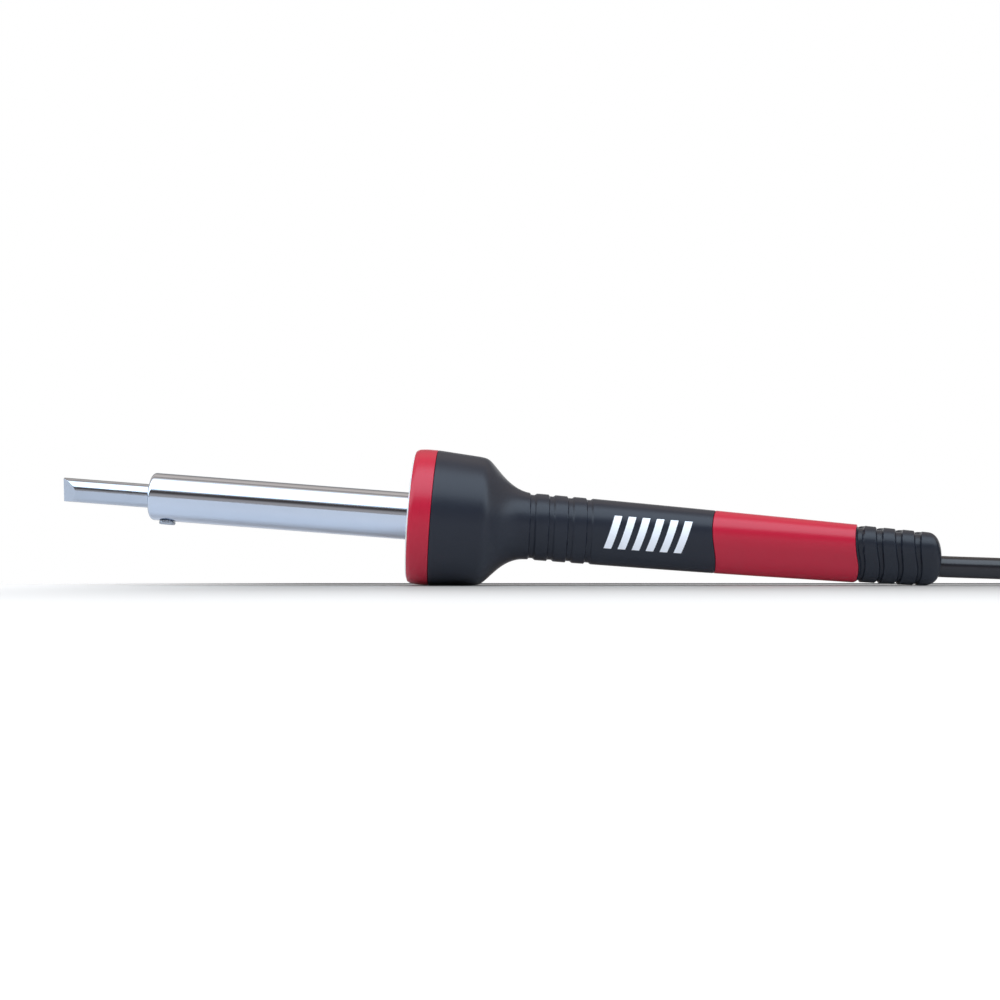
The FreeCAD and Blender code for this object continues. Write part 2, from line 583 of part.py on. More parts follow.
def make_plug(top, diameter):
    """Moulded three-pin plug lying across the hank, with its short lead rising from the top layer."""
    length, width, height = size("plug_length"), size("plug_width"), size("plug_height")
    turn = FreeCAD.Rotation(UP, size("plug_turn"))
    centre_z = top + 0.05 + height / 2
    rear = V(size("plug_x"), size("plug_y"), centre_z)
    where = FreeCAD.Placement(rear, turn)
    body = Part.makeBox(length, width, height, V(0, -width / 2, -height / 2))
    body = body.makeFillet(size("plug_fillet"), [edge for edge in body.Edges])
    body.Placement = where
    keep(shaped("plug_moulding", body), "plug_body")
    blades = []
    blade_z = -size("blade_drop")
    for side in (1, -1):
        blade = Part.makeBox(size("blade_length"), size("blade_thickness"), size("blade_width"),
                             V(length, side * size("blade_spacing") / 2 - size("blade_thickness") / 2,
                               blade_z - size("blade_width") / 2))
        blade.Placement = where
        blades.append(shaped(f"plug_blade_{side}", blade))
    keep(group("plug_blade_group", blades), "plug_blades")
    pin = Part.makeCylinder(size("earth_radius"), size("earth_length"),
                            V(length, 0, blade_z + size("earth_offset")), ALONG)
    pin.Placement = where
    keep(shaped("plug_pin", pin), "plug_earth_pin")
    sleeve_length = size("sleeve_length")
    sleeve = Part.makeCone(size("sleeve_front"), size("sleeve_rear"), sleeve_length, V(0, 0, 0), V(-1, 0, 0))
    sleeve = sleeve.cut(Part.makeCylinder(diameter / 2 + 0.02, sleeve_length + 2, V(1, 0, 0), V(-1, 0, 0)))
    sleeve.Placement = where
    keep(shaped("plug_sleeve", sleeve), "plug_relief")
    back = turn.multVec(V(-1, 0, 0))
    leave = rear + back * 24.0
    join_y = size("hank_middle") + 3 * diameter
    join_z = top - diameter / 2
    right = size("hank_start") + size("hank_straight")
    route = [rear, rear + back * 12.0 + V(0, 0, -0.05), leave,
             V(leave.x + 9.3, leave.y + 3.9, centre_z - 1.9),
             V(right - 14, join_y - 0.8, centre_z - 7.0), V(right - 4, join_y, join_z + 1.9),
             V(right + 7, join_y - 0.6, join_z)]
    lead, _ = tube(route, diameter, "plug_lead")
    keep(shaped("plug_lead_tube", lead), "plug_lead")


def rest_placement():
    """Tilt that lays the shoulder and the last rib on the bench."""
    shoulder = (size("shoulder_place"), size("shoulder_radius"))
    rib_x = size("rest_rib")
    thin = size("relief_thin") + size("relief_taper") * (rib_x - size("relief_start"))
    rib = (rib_x, (handle_radius(rib_x) - thin) * (1 + handle_lobe(rib_x)))
    tilt = math.degrees(math.atan2(shoulder[1] - rib[1], rib[0] - shoulder[0]))
    return FreeCAD.Placement(V(0, 0, 0), FreeCAD.Rotation(V(0, 1, 0), tilt))


def main():
    make_tip()
    make_retaining_screw()
    make_barrel()
    make_heater()
    make_flange()
    make_lit_ring()
    seam = make_grip()
    rear = make_handle_core(seam)
    make_strain_relief(rear)
    make_wiring()
    doc.recompute()
    rest = rest_placement()
    box = FreeCAD.BoundBox()
    for item in SUBPARTS:
        shape = item.Shape.copy()
        shape.Placement = rest.multiply(shape.Placement)
        box.add(shape.optimalBoundingBox(False))
    rest.Base = V(-box.Center.x, -box.Center.y, -box.ZMin)
    print("tilt", rest.Rotation.Angle, "base", rest.Base, "box", box)
    for item in SUBPARTS:
        item.Placement = rest.multiply(item.Placement)
    make_lead(rest)
    doc.recompute()
    for item in doc.Objects:
        if "Invalid" in item.State or "Error" in item.State:
            raise ValueError(item.Name + " failed")
    os.makedirs("parts", exist_ok=True)
    for item in SUBPARTS:
        if item.Shape.isNull() or not item.Shape.isValid():
            raise ValueError(item.Label + " has no valid shape")
        print(item.Label, "solids", len(item.Shape.Solids), "volume", round(item.Shape.Volume, 1))
        item.Shape.exportStep(f"parts/{item.Label}.step")
    print(len(SUBPARTS), "sub-parts")


main()
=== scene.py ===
# %% [markdown]
# # A soldering iron for stained glass, lying on a pale bench
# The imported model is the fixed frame: it holds every part at its real size and place. This script keeps
# the hidden parts, lays better surfaces over the ones that show, and gives each of them a finish.

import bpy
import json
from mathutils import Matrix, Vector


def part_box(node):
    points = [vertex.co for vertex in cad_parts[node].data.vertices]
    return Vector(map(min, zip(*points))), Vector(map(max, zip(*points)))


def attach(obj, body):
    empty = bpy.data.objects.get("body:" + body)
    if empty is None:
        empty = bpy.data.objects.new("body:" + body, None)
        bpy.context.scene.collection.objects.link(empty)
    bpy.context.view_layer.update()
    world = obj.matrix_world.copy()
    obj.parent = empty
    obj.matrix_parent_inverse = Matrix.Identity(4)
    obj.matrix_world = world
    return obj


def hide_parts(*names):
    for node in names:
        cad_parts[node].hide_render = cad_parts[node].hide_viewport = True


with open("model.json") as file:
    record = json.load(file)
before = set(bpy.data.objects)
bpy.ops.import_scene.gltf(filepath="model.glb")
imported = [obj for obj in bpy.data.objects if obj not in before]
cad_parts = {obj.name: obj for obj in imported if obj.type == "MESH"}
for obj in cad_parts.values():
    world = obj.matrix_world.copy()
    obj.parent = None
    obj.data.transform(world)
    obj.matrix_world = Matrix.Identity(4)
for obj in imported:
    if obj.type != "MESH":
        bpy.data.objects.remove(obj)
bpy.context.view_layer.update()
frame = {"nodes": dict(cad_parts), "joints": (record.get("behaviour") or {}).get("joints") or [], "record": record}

import json
import math

import bmesh
import bpy
import numpy as np

MM = 0.001
NODES = frame["nodes"]

# %% [markdown]
# ## The iron's own axis
# The iron leans on its shoulder, so nothing on it is square to the bench. Its tip slides along its axis,
# so the slide joint gives the direction, and the barrel's resting place gives a point on it. Every new
# piece is worked out along that axis in millimetres, and one function carries it to its place.

# %% Axis, and the way from the iron's own measures to the bench
slide = next(joint for joint in frame["joints"] if joint["name"] == "tip_slide")
AXIS = -np.array(slide["axis"], float)
AXIS /= np.linalg.norm(AXIS)
SIDE = np.array([0.0, 1.0, 0.0])
UPWARD = np.cross(AXIS, SIDE)
stand_rest = next(m for m in frame["record"]["mounts"] if m["name"] == "barrel_in_stand")
STAND_REST_PLACE = 60.0
TIP_POINT = np.array(stand_rest["pos_m"], float) - AXIS * STAND_REST_PLACE * MM


def on_iron(points):
    """Points (along, side, up) in mm from the tip's edge, carried to the bench frame in metres."""
    points = np.asarray(points, float)
    basis = np.stack([AXIS, SIDE, UPWARD])
    return TIP_POINT + (points @ basis) * MM


def measure(node):
    """First and last place along the axis and the largest radius from it, in mm, of one CAD node."""
    mesh = NODES[node].data
    co = np.empty(len(mesh.vertices) * 3, np.float32)
    mesh.vertices.foreach_get("co", co)
    rel = co.reshape(-1, 3) - TIP_POINT
    place = rel @ AXIS
    radius = np.linalg.norm(rel - place[:, None] * AXIS, axis=1)
    return place.min() / MM, place.max() / MM, radius.max() / MM


_, TIP_REAR, TIP_RADIUS = measure("chisel_tip")
BARREL_FRONT, BARREL_REAR, BARREL_RADIUS = measure("barrel")
RING_FRONT, RING_REAR, HEAD_RADIUS = measure("red_ring")
LENS_FRONT, LENS_REAR, LENS_RADIUS = measure("halo_lens")
GRIP_FRONT, GRIP_REAR, _ = measure("front_grip")
RELIEF_FRONT, RELIEF_END, _ = measure("strain_relief")
print("barrel", BARREL_FRONT, BARREL_REAR, BARREL_RADIUS, "ring", RING_FRONT, RING_REAR, HEAD_RADIUS)
print("grip", GRIP_FRONT, GRIP_REAR, "relief end", RELIEF_END)

# %% [markdown]
# ## Camera
# The view is square to the side of the iron and only a few millimetres above the bench, so the bench is
# seen almost edge on. A level camera with a small upward shift keeps the upright lines upright.

# %% Camera
CAMERA_PLACE, FOCAL_LENGTH, SENSOR_WIDTH, UPWARD_SHIFT = (-0.0002, -0.3726, 0.0043), 50.0, 36.0, 0.0695
camera_data = bpy.data.cameras.new("bench_camera")
camera_data.lens = FOCAL_LENGTH
camera_data.sensor_width = SENSOR_WIDTH
camera_data.clip_start = 0.005
camera_data.shift_y = UPWARD_SHIFT
camera = bpy.data.objects.new("bench_camera", camera_data)
bpy.context.scene.collection.objects.link(camera)
camera.location = CAMERA_PLACE
camera.rotation_euler = (math.radians(90.0), 0.0, 0.0)
bpy.context.scene.camera = camera
bpy.context.scene.view_settings.view_transform = "Standard"
print("camera at", CAMERA_PLACE, "lens", FOCAL_LENGTH)

# %% [markdown]
# ## Making meshes
# Almost every piece is a sheet of points bent round the axis: rows follow an outline, columns go round.
# One helper makes the faces of such a grid and another turns points and faces into a smooth closed mesh.

# %% Mesh helpers
def link_mesh(name, points, faces, sharp=35.0):
    """Mesh object at the origin, smooth but for edges that turn by more than the given angle."""
    mesh = bpy.data.meshes.new(name)
    mesh.from_pydata(np.asarray(points, float).tolist(), [], np.asarray(faces).tolist())
    work = bmesh.new()
    work.from_mesh(mesh)
    bmesh.ops.remove_doubles(work, verts=work.verts, dist=2e-7)
    bmesh.ops.dissolve_degenerate(work, edges=work.edges, dist=1e-8)
    bmesh.ops.recalc_face_normals(work, faces=work.faces)
    work.to_mesh(mesh)
    work.free()
    mesh.shade_smooth()
    mesh.set_sharp_from_angle(angle=math.radians(sharp))
    piece = bpy.data.objects.new(name, mesh)
    bpy.context.scene.collection.objects.link(piece)
    return piece


def tell(piece):
    """Print what a piece came out as: its faces and its size in millimetres."""
    co = np.empty(len(piece.data.vertices) * 3, np.float32)
    piece.data.vertices.foreach_get("co", co)
    print(piece.name, "faces", len(piece.data.polygons), "mm", np.ptp(co.reshape(-1, 3), axis=0) / MM)


def grid_faces(rows, columns, close_rows, close_columns):
    """Quads of a grid whose last row and column may join the first."""
    row = np.arange(rows if close_rows else rows - 1)
    column = np.arange(columns if close_columns else columns - 1)
    r, c = np.meshgrid(row, column, indexing="ij")
    r2, c2 = (r + 1) % rows, (c + 1) % columns
    quads = [r * columns + c, r * columns + c2, r2 * columns + c2, r2 * columns + c]
    return np.stack(quads, axis=-1).reshape(-1, 4)


print("a 3 by 4 grid closed both ways has", len(grid_faces(3, 4, True, True)), "faces")

# %% [markdown]
# ## Outlines and turned shapes
# A lathe part is drawn as half its section. Sharp corners never look real, because every moulded or
# turned edge has a small radius that catches the light, so each corner states its own rounding.

# %% Outlines, and the way round the axis
def rounded(corners, steps=5):
    """Outline through (place, radius, rounding) corners: each is replaced by a circular arc that leaves
    and meets its two sides at rounding / tan(half the corner's angle) from the corner."""
    corners = [np.array(c, float) for c in corners]
    outline = []
    for index, corner in enumerate(corners):
        before = corners[index - 1][:2] - corner[:2]
        after = corners[(index + 1) % len(corners)][:2] - corner[:2]
        if corner[2] <= 0:
            outline.append(corner[:2])
            continue
        a, b = before / np.linalg.norm(before), after / np.linalg.norm(after)
        half = math.acos(np.clip(a @ b, -1, 1)) / 2
        longest = 0.48 * min(np.linalg.norm(before), np.linalg.norm(after))
        reach = min(corner[2] / math.tan(half), longest)
        radius = reach * math.tan(half)
        centre = corner[:2] + (a + b) / np.linalg.norm(a + b) * radius / math.sin(half)
        start, end = corner[:2] + a * reach - centre, corner[:2] + b * reach - centre
        sweep = math.atan2(start[0] * end[1] - start[1] * end[0], start @ end)
        turn = np.linspace(0, sweep, steps + 1)[:, None]
        outline.extend(centre + start * np.cos(turn) + np.array([-start[1], start[0]]) * np.sin(turn))
    return np.array(outline)


def ring_angles(columns):
    """Angles round the axis: 0 faces the camera, a quarter turn is up."""
    return np.linspace(0, 2 * math.pi, columns, endpoint=False)


def round_axis(along, reach, angle, drop=0.0):
    """Points (along, -reach * cos(angle), reach * sin(angle) - drop), carried to the bench frame."""
    side, up = -reach * np.cos(angle), reach * np.sin(angle) - drop
    return on_iron(np.stack(np.broadcast_arrays(along, side, up), axis=-1).reshape(-1, 3))


def lathe(name, outline, columns, sharp=35.0):
    """Surface of revolution: every outline point (place, radius) goes round the iron's axis."""
    outline = np.asarray(outline, float)
    points = round_axis(outline[:, :1], outline[:, 1:2], ring_angles(columns))
    return link_mesh(name, points, grid_faces(len(outline), columns, True, True), sharp)


def smooth_step(low, high, value):
    """0 below low, 1 above high, and 3t^2 - 2t^3 between them."""
    t = np.clip((value - low) / (high - low), 0, 1)
    return t * t * (3 - 2 * t)


SAMPLE = rounded([(0, 0, 1), (9, 0, 1), (9, 9, 1), (0, 9, 1)])
print("a square with rounded corners has", len(SAMPLE), "points")

# %% [markdown]
# ## Shader groups
# Three effects are used by more than one finish: a soft unevenness of colour and gloss, a fine moulded or
# ground grain, and brightened edges, partly where a finish has rubbed and partly a painted highlight. Each is
# a node group with named inputs.

# %% Node group helpers
def new_group(name, inputs, outputs):
    """Empty shader group with float or colour sockets and its two end nodes."""
    group = bpy.data.node_groups.new(name, "ShaderNodeTree")
    for label, kind, value in inputs:
        socket = group.interface.new_socket(label, in_out="INPUT", socket_type=kind)
        socket.default_value = value
    for label, kind in outputs:
        group.interface.new_socket(label, in_out="OUTPUT", socket_type=kind)
    start = group.nodes.new("NodeGroupInput")
    end = group.nodes.new("NodeGroupOutput")
    return group, start, end


def math_node(tree, operation, a, b=None, clamp=False):
    """One Math node whose inputs are numbers or sockets."""
    node = tree.nodes.new("ShaderNodeMath")
    node.operation = operation
    node.use_clamp = clamp
    for slot_index, value in enumerate((a, b)):
        if value is None:
            continue
        if hasattr(value, "links"):
            tree.links.new(value, node.inputs[slot_index])
        else:
            node.inputs[slot_index].default_value = value
    return node.outputs[0]


def noise_node(tree, vector, scale, detail=4.0, rough=0.55):
    """Noise texture read at a vector, with its scale a number or a socket."""
    node = tree.nodes.new("ShaderNodeTexNoise")
    node.inputs["Detail"].default_value = detail
    node.inputs["Roughness"].default_value = rough
    tree.links.new(vector, node.inputs["Vector"])
    if hasattr(scale, "links"):
        tree.links.new(scale, node.inputs["Scale"])
    else:
        node.inputs["Scale"].default_value = scale
    return node.outputs["Fac"]


def mix_colour(tree, factor, a, b, blend="MIX"):
    """Mix of two colours, each a socket or four numbers."""
    node = tree.nodes.new("ShaderNodeMix")
    node.data_type = "RGBA"
    node.blend_type = blend
    sockets = {s.identifier: s for s in node.inputs}
    for identifier, value in (("Factor_Float", factor), ("A_Color", a), ("B_Color", b)):
        if hasattr(value, "links"):
            tree.links.new(value, sockets[identifier])
        else:
            sockets[identifier].default_value = value
    return next(s for s in node.outputs if s.identifier == "Result_Color")


print("helpers for groups, Math, Noise and Mix nodes are ready")

# %% [markdown]
# ## Mottle, grain and edge wear with a painted highlight
# Real surfaces are never even. Mottle moves colour and gloss by a few percent over centimetres, grain is
# the fine texture of a mould or a grinding belt, and the edge mask lightens the corners, partly as the wear
# that hands rub and partly as a painted highlight.

# %% The three groups
def make_mottle_group():
    """Colour and gloss that drift a little: value = middle + amount * (noise - 0.5)."""
    group, start, end = new_group(
        "mottle", [("Color", "NodeSocketColor", (0.5, 0.5, 0.5, 1)), ("Amount", "NodeSocketFloat", 0.1),
                   ("Scale", "NodeSocketFloat", 60.0), ("Roughness", "NodeSocketFloat", 0.4),
                   ("Gloss Drift", "NodeSocketFloat", 0.08)],
        [("Color", "NodeSocketColor"), ("Roughness", "NodeSocketFloat")])
    where = group.nodes.new("ShaderNodeTexCoord").outputs["Object"]
    drift = math_node(group, "SUBTRACT", noise_node(group, where, start.outputs["Scale"]), 0.5)
    fine = math_node(group, "SUBTRACT", noise_node(group, where, 900.0, 2.0), 0.5)
    lift = math_node(group, "ADD", 1.0, math_node(group, "MULTIPLY", drift, start.outputs["Amount"]))
    scaled = group.nodes.new("ShaderNodeVectorMath")
    scaled.operation = "SCALE"
    group.links.new(start.outputs["Color"], scaled.inputs[0])
    group.links.new(lift, scaled.inputs["Scale"])
    group.links.new(scaled.outputs[0], end.inputs["Color"])
    both = math_node(group, "ADD", drift, fine)
    change = math_node(group, "MULTIPLY", both, start.outputs["Gloss Drift"])
    rough = math_node(group, "ADD", start.outputs["Roughness"], change, clamp=True)
    group.links.new(rough, end.inputs["Roughness"])
    return group


def make_grain_group():
    """Height of a fine grain: noise, drawn out along the iron by the Stretch input."""
    group, start, end = new_group(
        "grain", [("Scale", "NodeSocketFloat", 2500.0), ("Stretch", "NodeSocketFloat", 1.0),
                  ("Coarse", "NodeSocketFloat", 0.0)], [("Height", "NodeSocketFloat")])
    where = group.nodes.new("ShaderNodeTexCoord").outputs["Object"]
    turned = group.nodes.new("ShaderNodeMapping")
    turned.inputs["Rotation"].default_value = (0.0, -math.atan2(-AXIS[2], AXIS[0]), 0.0)
    group.links.new(where, turned.inputs["Vector"])
    parts = group.nodes.new("ShaderNodeSeparateXYZ")
    group.links.new(turned.outputs[0], parts.inputs[0])
    joined = group.nodes.new("ShaderNodeCombineXYZ")
    group.links.new(math_node(group, "DIVIDE", parts.outputs[0], start.outputs["Stretch"]), joined.inputs[0])
    group.links.new(parts.outputs[1], joined.inputs[1])
    group.links.new(parts.outputs[2], joined.inputs[2])
    fine = noise_node(group, joined.outputs[0], start.outputs["Scale"], 3.0)
    slow = math_node(group, "MULTIPLY", noise_node(group, where, 300.0, 2.0), start.outputs["Coarse"])
    group.links.new(math_node(group, "ADD", fine, slow), end.inputs["Height"])
    return group


def make_wear_and_highlight_group():
    """Mask of brightened edges, partly rubbed wear and partly a painted highlight: how far the surface bulges,
    broken up by noise.
    """
    group, start, end = new_group(
        "edge_wear_and_highlight", [("Start", "NodeSocketFloat", 0.53), ("Amount", "NodeSocketFloat", 6.0),
                      ("Breakup", "NodeSocketFloat", 400.0)], [("Mask", "NodeSocketFloat")])
    # Bulging edges are lightened: partly rubbed wear, partly a painted highlight.
    bulge = group.nodes.new("ShaderNodeNewGeometry").outputs["Pointiness"]
    where = group.nodes.new("ShaderNodeTexCoord").outputs["Object"]
    broken = noise_node(group, where, start.outputs["Breakup"], 3.0)
    over = math_node(group, "SUBTRACT", bulge, start.outputs["Start"])
    raised = math_node(group, "MULTIPLY", over, start.outputs["Amount"], clamp=True)
    group.links.new(math_node(group, "MULTIPLY", raised, broken, clamp=True), end.inputs["Mask"])
    return group


MOTTLE, GRAIN, WEAR_AND_HIGHLIGHT_GROUP = make_mottle_group(), make_grain_group(), make_wear_and_highlight_group()
print("groups", MOTTLE.name, GRAIN.name, WEAR_AND_HIGHLIGHT_GROUP.name)

# %% [markdown]
# ## Finishes
# A finish is a Principled shader with the three groups in front of it. The numbers that differ are its
# colour, gloss, grain and brightened edges (wear and painted highlight), so one function builds them all
# and each finish states its own values.

# %% The common finish
def finish(name, colour, rough, metallic=0.0, mottle=0.12, drift=0.06, grain=2500.0, stretch=1.0, coarse=0.0,
           bump=0.05, wear_and_highlight=None, worn_and_highlight_colour=(0.8, 0.8, 0.8), **sockets):
    """Principled material with drifting colour and gloss, a bumped grain and, if asked, edges lightened partly as
    wear and partly as a painted highlight.
    """
    material = bpy.data.materials.new(name)
    material.use_nodes = True
    tree = material.node_tree
    shader = tree.nodes["Principled BSDF"]
    shade = tree.nodes.new("ShaderNodeGroup")
    shade.node_tree = MOTTLE
    shade.inputs["Color"].default_value = (*colour, 1.0)
    shade.inputs["Amount"].default_value = mottle
    shade.inputs["Roughness"].default_value = rough
    shade.inputs["Gloss Drift"].default_value = drift
    base = shade.outputs["Color"]
    # Edges turn towards the worn colour: partly rubbed wear, partly a painted highlight.
    if wear_and_highlight is not None:
        edge = tree.nodes.new("ShaderNodeGroup")
        edge.node_tree = WEAR_AND_HIGHLIGHT_GROUP
        edge.inputs["Amount"].default_value = wear_and_highlight
        base = mix_colour(tree, edge.outputs["Mask"], base, (*worn_and_highlight_colour, 1.0))
    tree.links.new(base, shader.inputs["Base Color"])
    tree.links.new(shade.outputs["Roughness"], shader.inputs["Roughness"])
    shader.inputs["Metallic"].default_value = metallic
    texture = tree.nodes.new("ShaderNodeGroup")
    texture.node_tree = GRAIN
    texture.inputs["Scale"].default_value = grain
    texture.inputs["Stretch"].default_value = stretch
    texture.inputs["Coarse"].default_value = coarse
    relief = tree.nodes.new("ShaderNodeBump")
    relief.inputs["Strength"].default_value = bump
    relief.inputs["Distance"].default_value = 0.0002
    tree.links.new(texture.outputs["Height"], relief.inputs["Height"])
    tree.links.new(relief.outputs["Normal"], shader.inputs["Normal"])
    for socket, value in sockets.items():
        shader.inputs[socket.replace("_", " ")].default_value = value
    return material


def dress(piece, material):
    """Put one finish on a piece in place of whatever it had."""
    piece.data.materials.clear()
    piece.data.materials.append(material)


# %% [markdown]
# ## The finishes that show
# The grip is soft-touch rubber, nearly black with a blue cast, and the relief is a harder rubber. The red
# moulding is glossier. The barrel is bright drawn steel, ground along its length, and the tip is plated.

# %% Finishes of the outside
# Lighter black for the rubber's edges: partly rubbed wear, partly a painted highlight.
RUBBED_AND_HIGHLIT_BLACK = (0.03, 0.03, 0.035)
SOFT_BLACK = finish("soft_touch_black", (0.0115, 0.0145, 0.0235), 0.34, mottle=0.18, drift=0.10,
                    grain=3200.0, coarse=0.5, bump=0.10, wear_and_highlight=2.0, worn_and_highlight_colour=RUBBED_AND_HIGHLIT_BLACK,
                    Specular_IOR_Level=0.32)
RELIEF_BLACK = finish("relief_rubber", (0.0100, 0.0128, 0.0205), 0.36, mottle=0.2, grain=2600.0,
                      coarse=0.4, bump=0.12, wear_and_highlight=2.0, worn_and_highlight_colour=RUBBED_AND_HIGHLIT_BLACK, Specular_IOR_Level=0.32)
RED = finish("red_moulding", (0.45, 0.006, 0.030), 0.31, mottle=0.10, drift=0.08, grain=2800.0, coarse=0.5,
             bump=0.05, wear_and_highlight=2.0, worn_and_highlight_colour=(0.62, 0.06, 0.09), Specular_IOR_Level=0.4)
BARREL_STEEL = finish("drawn_steel", (0.58, 0.65, 0.76), 0.09, metallic=1.0, mottle=0.08, drift=0.06,
                      grain=2600.0, stretch=60.0, bump=0.03, wear_and_highlight=2.0, worn_and_highlight_colour=(0.86, 0.86, 0.87))
TIP_PLATE = finish("iron_plated_tip", (0.50, 0.56, 0.65), 0.12, metallic=1.0, mottle=0.16, drift=0.14,
                   grain=2400.0, stretch=14.0, coarse=0.8, bump=0.07, wear_and_highlight=3.0,
                   worn_and_highlight_colour=(0.85, 0.85, 0.86))
SCREW_STEEL = finish("screw_steel", (0.40, 0.44, 0.50), 0.26, metallic=1.0, grain=1800.0, bump=0.08,
                     wear_and_highlight=5.0, worn_and_highlight_colour=(0.88, 0.88, 0.88))
CORD_BLACK = finish("cord_jacket", (0.008, 0.008, 0.012), 0.24, mottle=0.2, drift=0.08, grain=1500.0,
                    coarse=1.0, bump=0.05)
PLUG_BLACK = finish("plug_moulding", (0.020, 0.020, 0.023), 0.36, mottle=0.2, grain=2400.0, coarse=0.8,
                    bump=0.14, wear_and_highlight=3.0, worn_and_highlight_colour=(0.07, 0.07, 0.07))
PLUG_BRASS = finish("blade_brass", (0.80, 0.66, 0.36), 0.24, metallic=1.0, grain=1600.0, stretch=20.0,
                    bump=0.06, wear_and_highlight=3.0, worn_and_highlight_colour=(0.92, 0.84, 0.6))
LENS_WHITE = finish("frosted_lens", (0.93, 0.92, 0.90), 0.38, mottle=0.03, grain=1800.0, bump=0.03,
                    Transmission_Weight=0.25, Subsurface_Weight=0.2, Subsurface_Scale=0.002)
PRINT_WHITE = finish("printed_ink", (0.86, 0.88, 0.92), 0.45, mottle=0.05, grain=2600.0, coarse=0.6,
                     bump=0.12)
TIE_BLACK = finish("tie_vinyl", (0.024, 0.024, 0.026), 0.5, mottle=0.2, grain=1400.0, stretch=6.0,
                   bump=0.25)
print("finishes so far", len(bpy.data.materials))

# %% [markdown]
# ## The parts inside
# The heater, the flange, the lamp board and the leads stay as the frame has them, sealed in the shell.
# Each one takes a finish for its slot, so that the iron is right when it is opened up.

# %% Finishes of the inner parts
INNER_FINISHES = {
    "socket_brass": finish("socket_brass", (0.72, 0.57, 0.28), 0.3, metallic=1.0, stretch=0.2, bump=0.1),
    "screw_steel": SCREW_STEEL,
    "ceramic": finish("fired_alumina", (0.88, 0.86, 0.81), 0.6, mottle=0.08, bump=0.2),
    "winding_wire": finish("oxidised_wire", (0.30, 0.27, 0.25), 0.45, metallic=1.0),
    "mica": finish("mica_sheet", (0.62, 0.52, 0.34), 0.35, mottle=0.3, bump=0.1),
    "flange_steel": finish("zinc_plate", (0.62, 0.63, 0.60), 0.32, metallic=1.0, mottle=0.2),
    "baffle_board": finish("fibre_board", (0.72, 0.68, 0.58), 0.75, mottle=0.2, bump=0.3),
    "board_green": finish("solder_mask", (0.03, 0.22, 0.08), 0.35, mottle=0.15),
    "led_yellow": finish("lamp_phosphor", (0.90, 0.78, 0.22), 0.4),
    "resistor_black": finish("component_black", (0.03, 0.03, 0.03), 0.5),
    "clamp_nylon": finish("natural_nylon", (0.80, 0.78, 0.72), 0.5, bump=0.15),
    "wire_black": finish("wire_black", (0.015, 0.015, 0.015), 0.4),
    "wire_white": finish("wire_white", (0.85, 0.85, 0.83), 0.4),
    "wire_green": finish("wire_green", (0.03, 0.28, 0.07), 0.4),
    "wire_red": finish("wire_red", (0.55, 0.02, 0.02), 0.4),
    "splice_blue": finish("splice_blue", (0.03, 0.10, 0.45), 0.4),
    "glass_sleeving": finish("glass_sleeving", (0.82, 0.80, 0.73), 0.8, grain=4000.0, bump=0.5),
    "blade_brass": PLUG_BRASS,
}
for part in frame["record"]["subparts"]:
    if part["material_slot"] in INNER_FINISHES:
        dress(NODES[part["node"]], INNER_FINISHES[part["material_slot"]])
print("finishes with the inner parts", len(bpy.data.materials))

# %% [markdown]
# ## The mains lead, its hank and its plug
# The lead leaves the strain relief, runs along the bench out of view and is wound into a hank of six
# turns, two side by side and three high, held by a tie. It is one smooth NURBS line that follows the solids
# it replaces, with the turns worked out by a loop.

# %% The lead's line
CORD_DIAMETER = 5.8 * MM
hank_low, hank_high = (np.array(corner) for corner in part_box("cord_hank"))
HANK_CENTRE = (hank_low + hank_high) / 2
HALF_STRAIGHT = (hank_high[0] - hank_low[0]) / 2 - 4.5 * CORD_DIAMETER
FIRST_LAYER = hank_low[2] + CORD_DIAMETER / 2
INNER, OUTER = 3 * CORD_DIAMETER, 4 * CORD_DIAMETER
TURNS = [(OUTER, 0), (INNER, 0), (INNER, 1), (OUTER, 1), (OUTER, 2), (INNER, 2)]
ARC_STEPS, RUN_STEPS = 12, 10
print("hank centre", HANK_CENTRE, "half of its straight", HALF_STRAIGHT)


def half_turn(radius, height, first):
    """Half turn at one end of the hank. Its control points stand at radius / cos(half a step), so that
    the sides between them touch the wanted circle."""
    step = math.pi / ARC_STEPS
    angle = first + step * (np.arange(ARC_STEPS) + 0.5)
    end = HALF_STRAIGHT if first < 0 else -HALF_STRAIGHT
    reach = radius / math.cos(step / 2)
    return np.column_stack([HANK_CENTRE[0] + end + reach * np.cos(angle),
                            HANK_CENTRE[1] + reach * np.sin(angle), np.full(ARC_STEPS, height)])


def straight_run(side, first, last):
    """Straight side of a turn, +X on the near side and -X on the far one. The lead moves from the first
    (radius, height) to the last along a smooth step."""
    t = (np.arange(RUN_STEPS) + 0.5) / RUN_STEPS
    blend = smooth_step(0.1, 0.9, t)
    radius = first[0] + (last[0] - first[0]) * blend
    height = first[1] + (last[1] - first[1]) * blend
    return np.column_stack([HANK_CENTRE[0] - side * HALF_STRAIGHT * (2 * t - 1),
                            HANK_CENTRE[1] + side * radius, height])


def hank_turns():
    """Six turns: near side, right end, far side, where the lead moves to its next place, and left end."""
    places = [(radius, FIRST_LAYER + layer * CORD_DIAMETER) for radius, layer in TURNS]
    points = []
    for place, following in zip(places, places[1:] + [None]):
        points += [straight_run(-1, place, place), half_turn(*place, -math.pi / 2)]
        if following:
            points += [straight_run(1, place, following), half_turn(*following, math.pi / 2)]
    return np.vstack(points)[RUN_STEPS // 3:]


# %% [markdown]
# ## The whole route
# The lead starts inside the handle, comes out below the middle of the strain relief, settles on the bench
# in two loose bends, makes its turns and climbs to the plug. The points are the curve's control points.

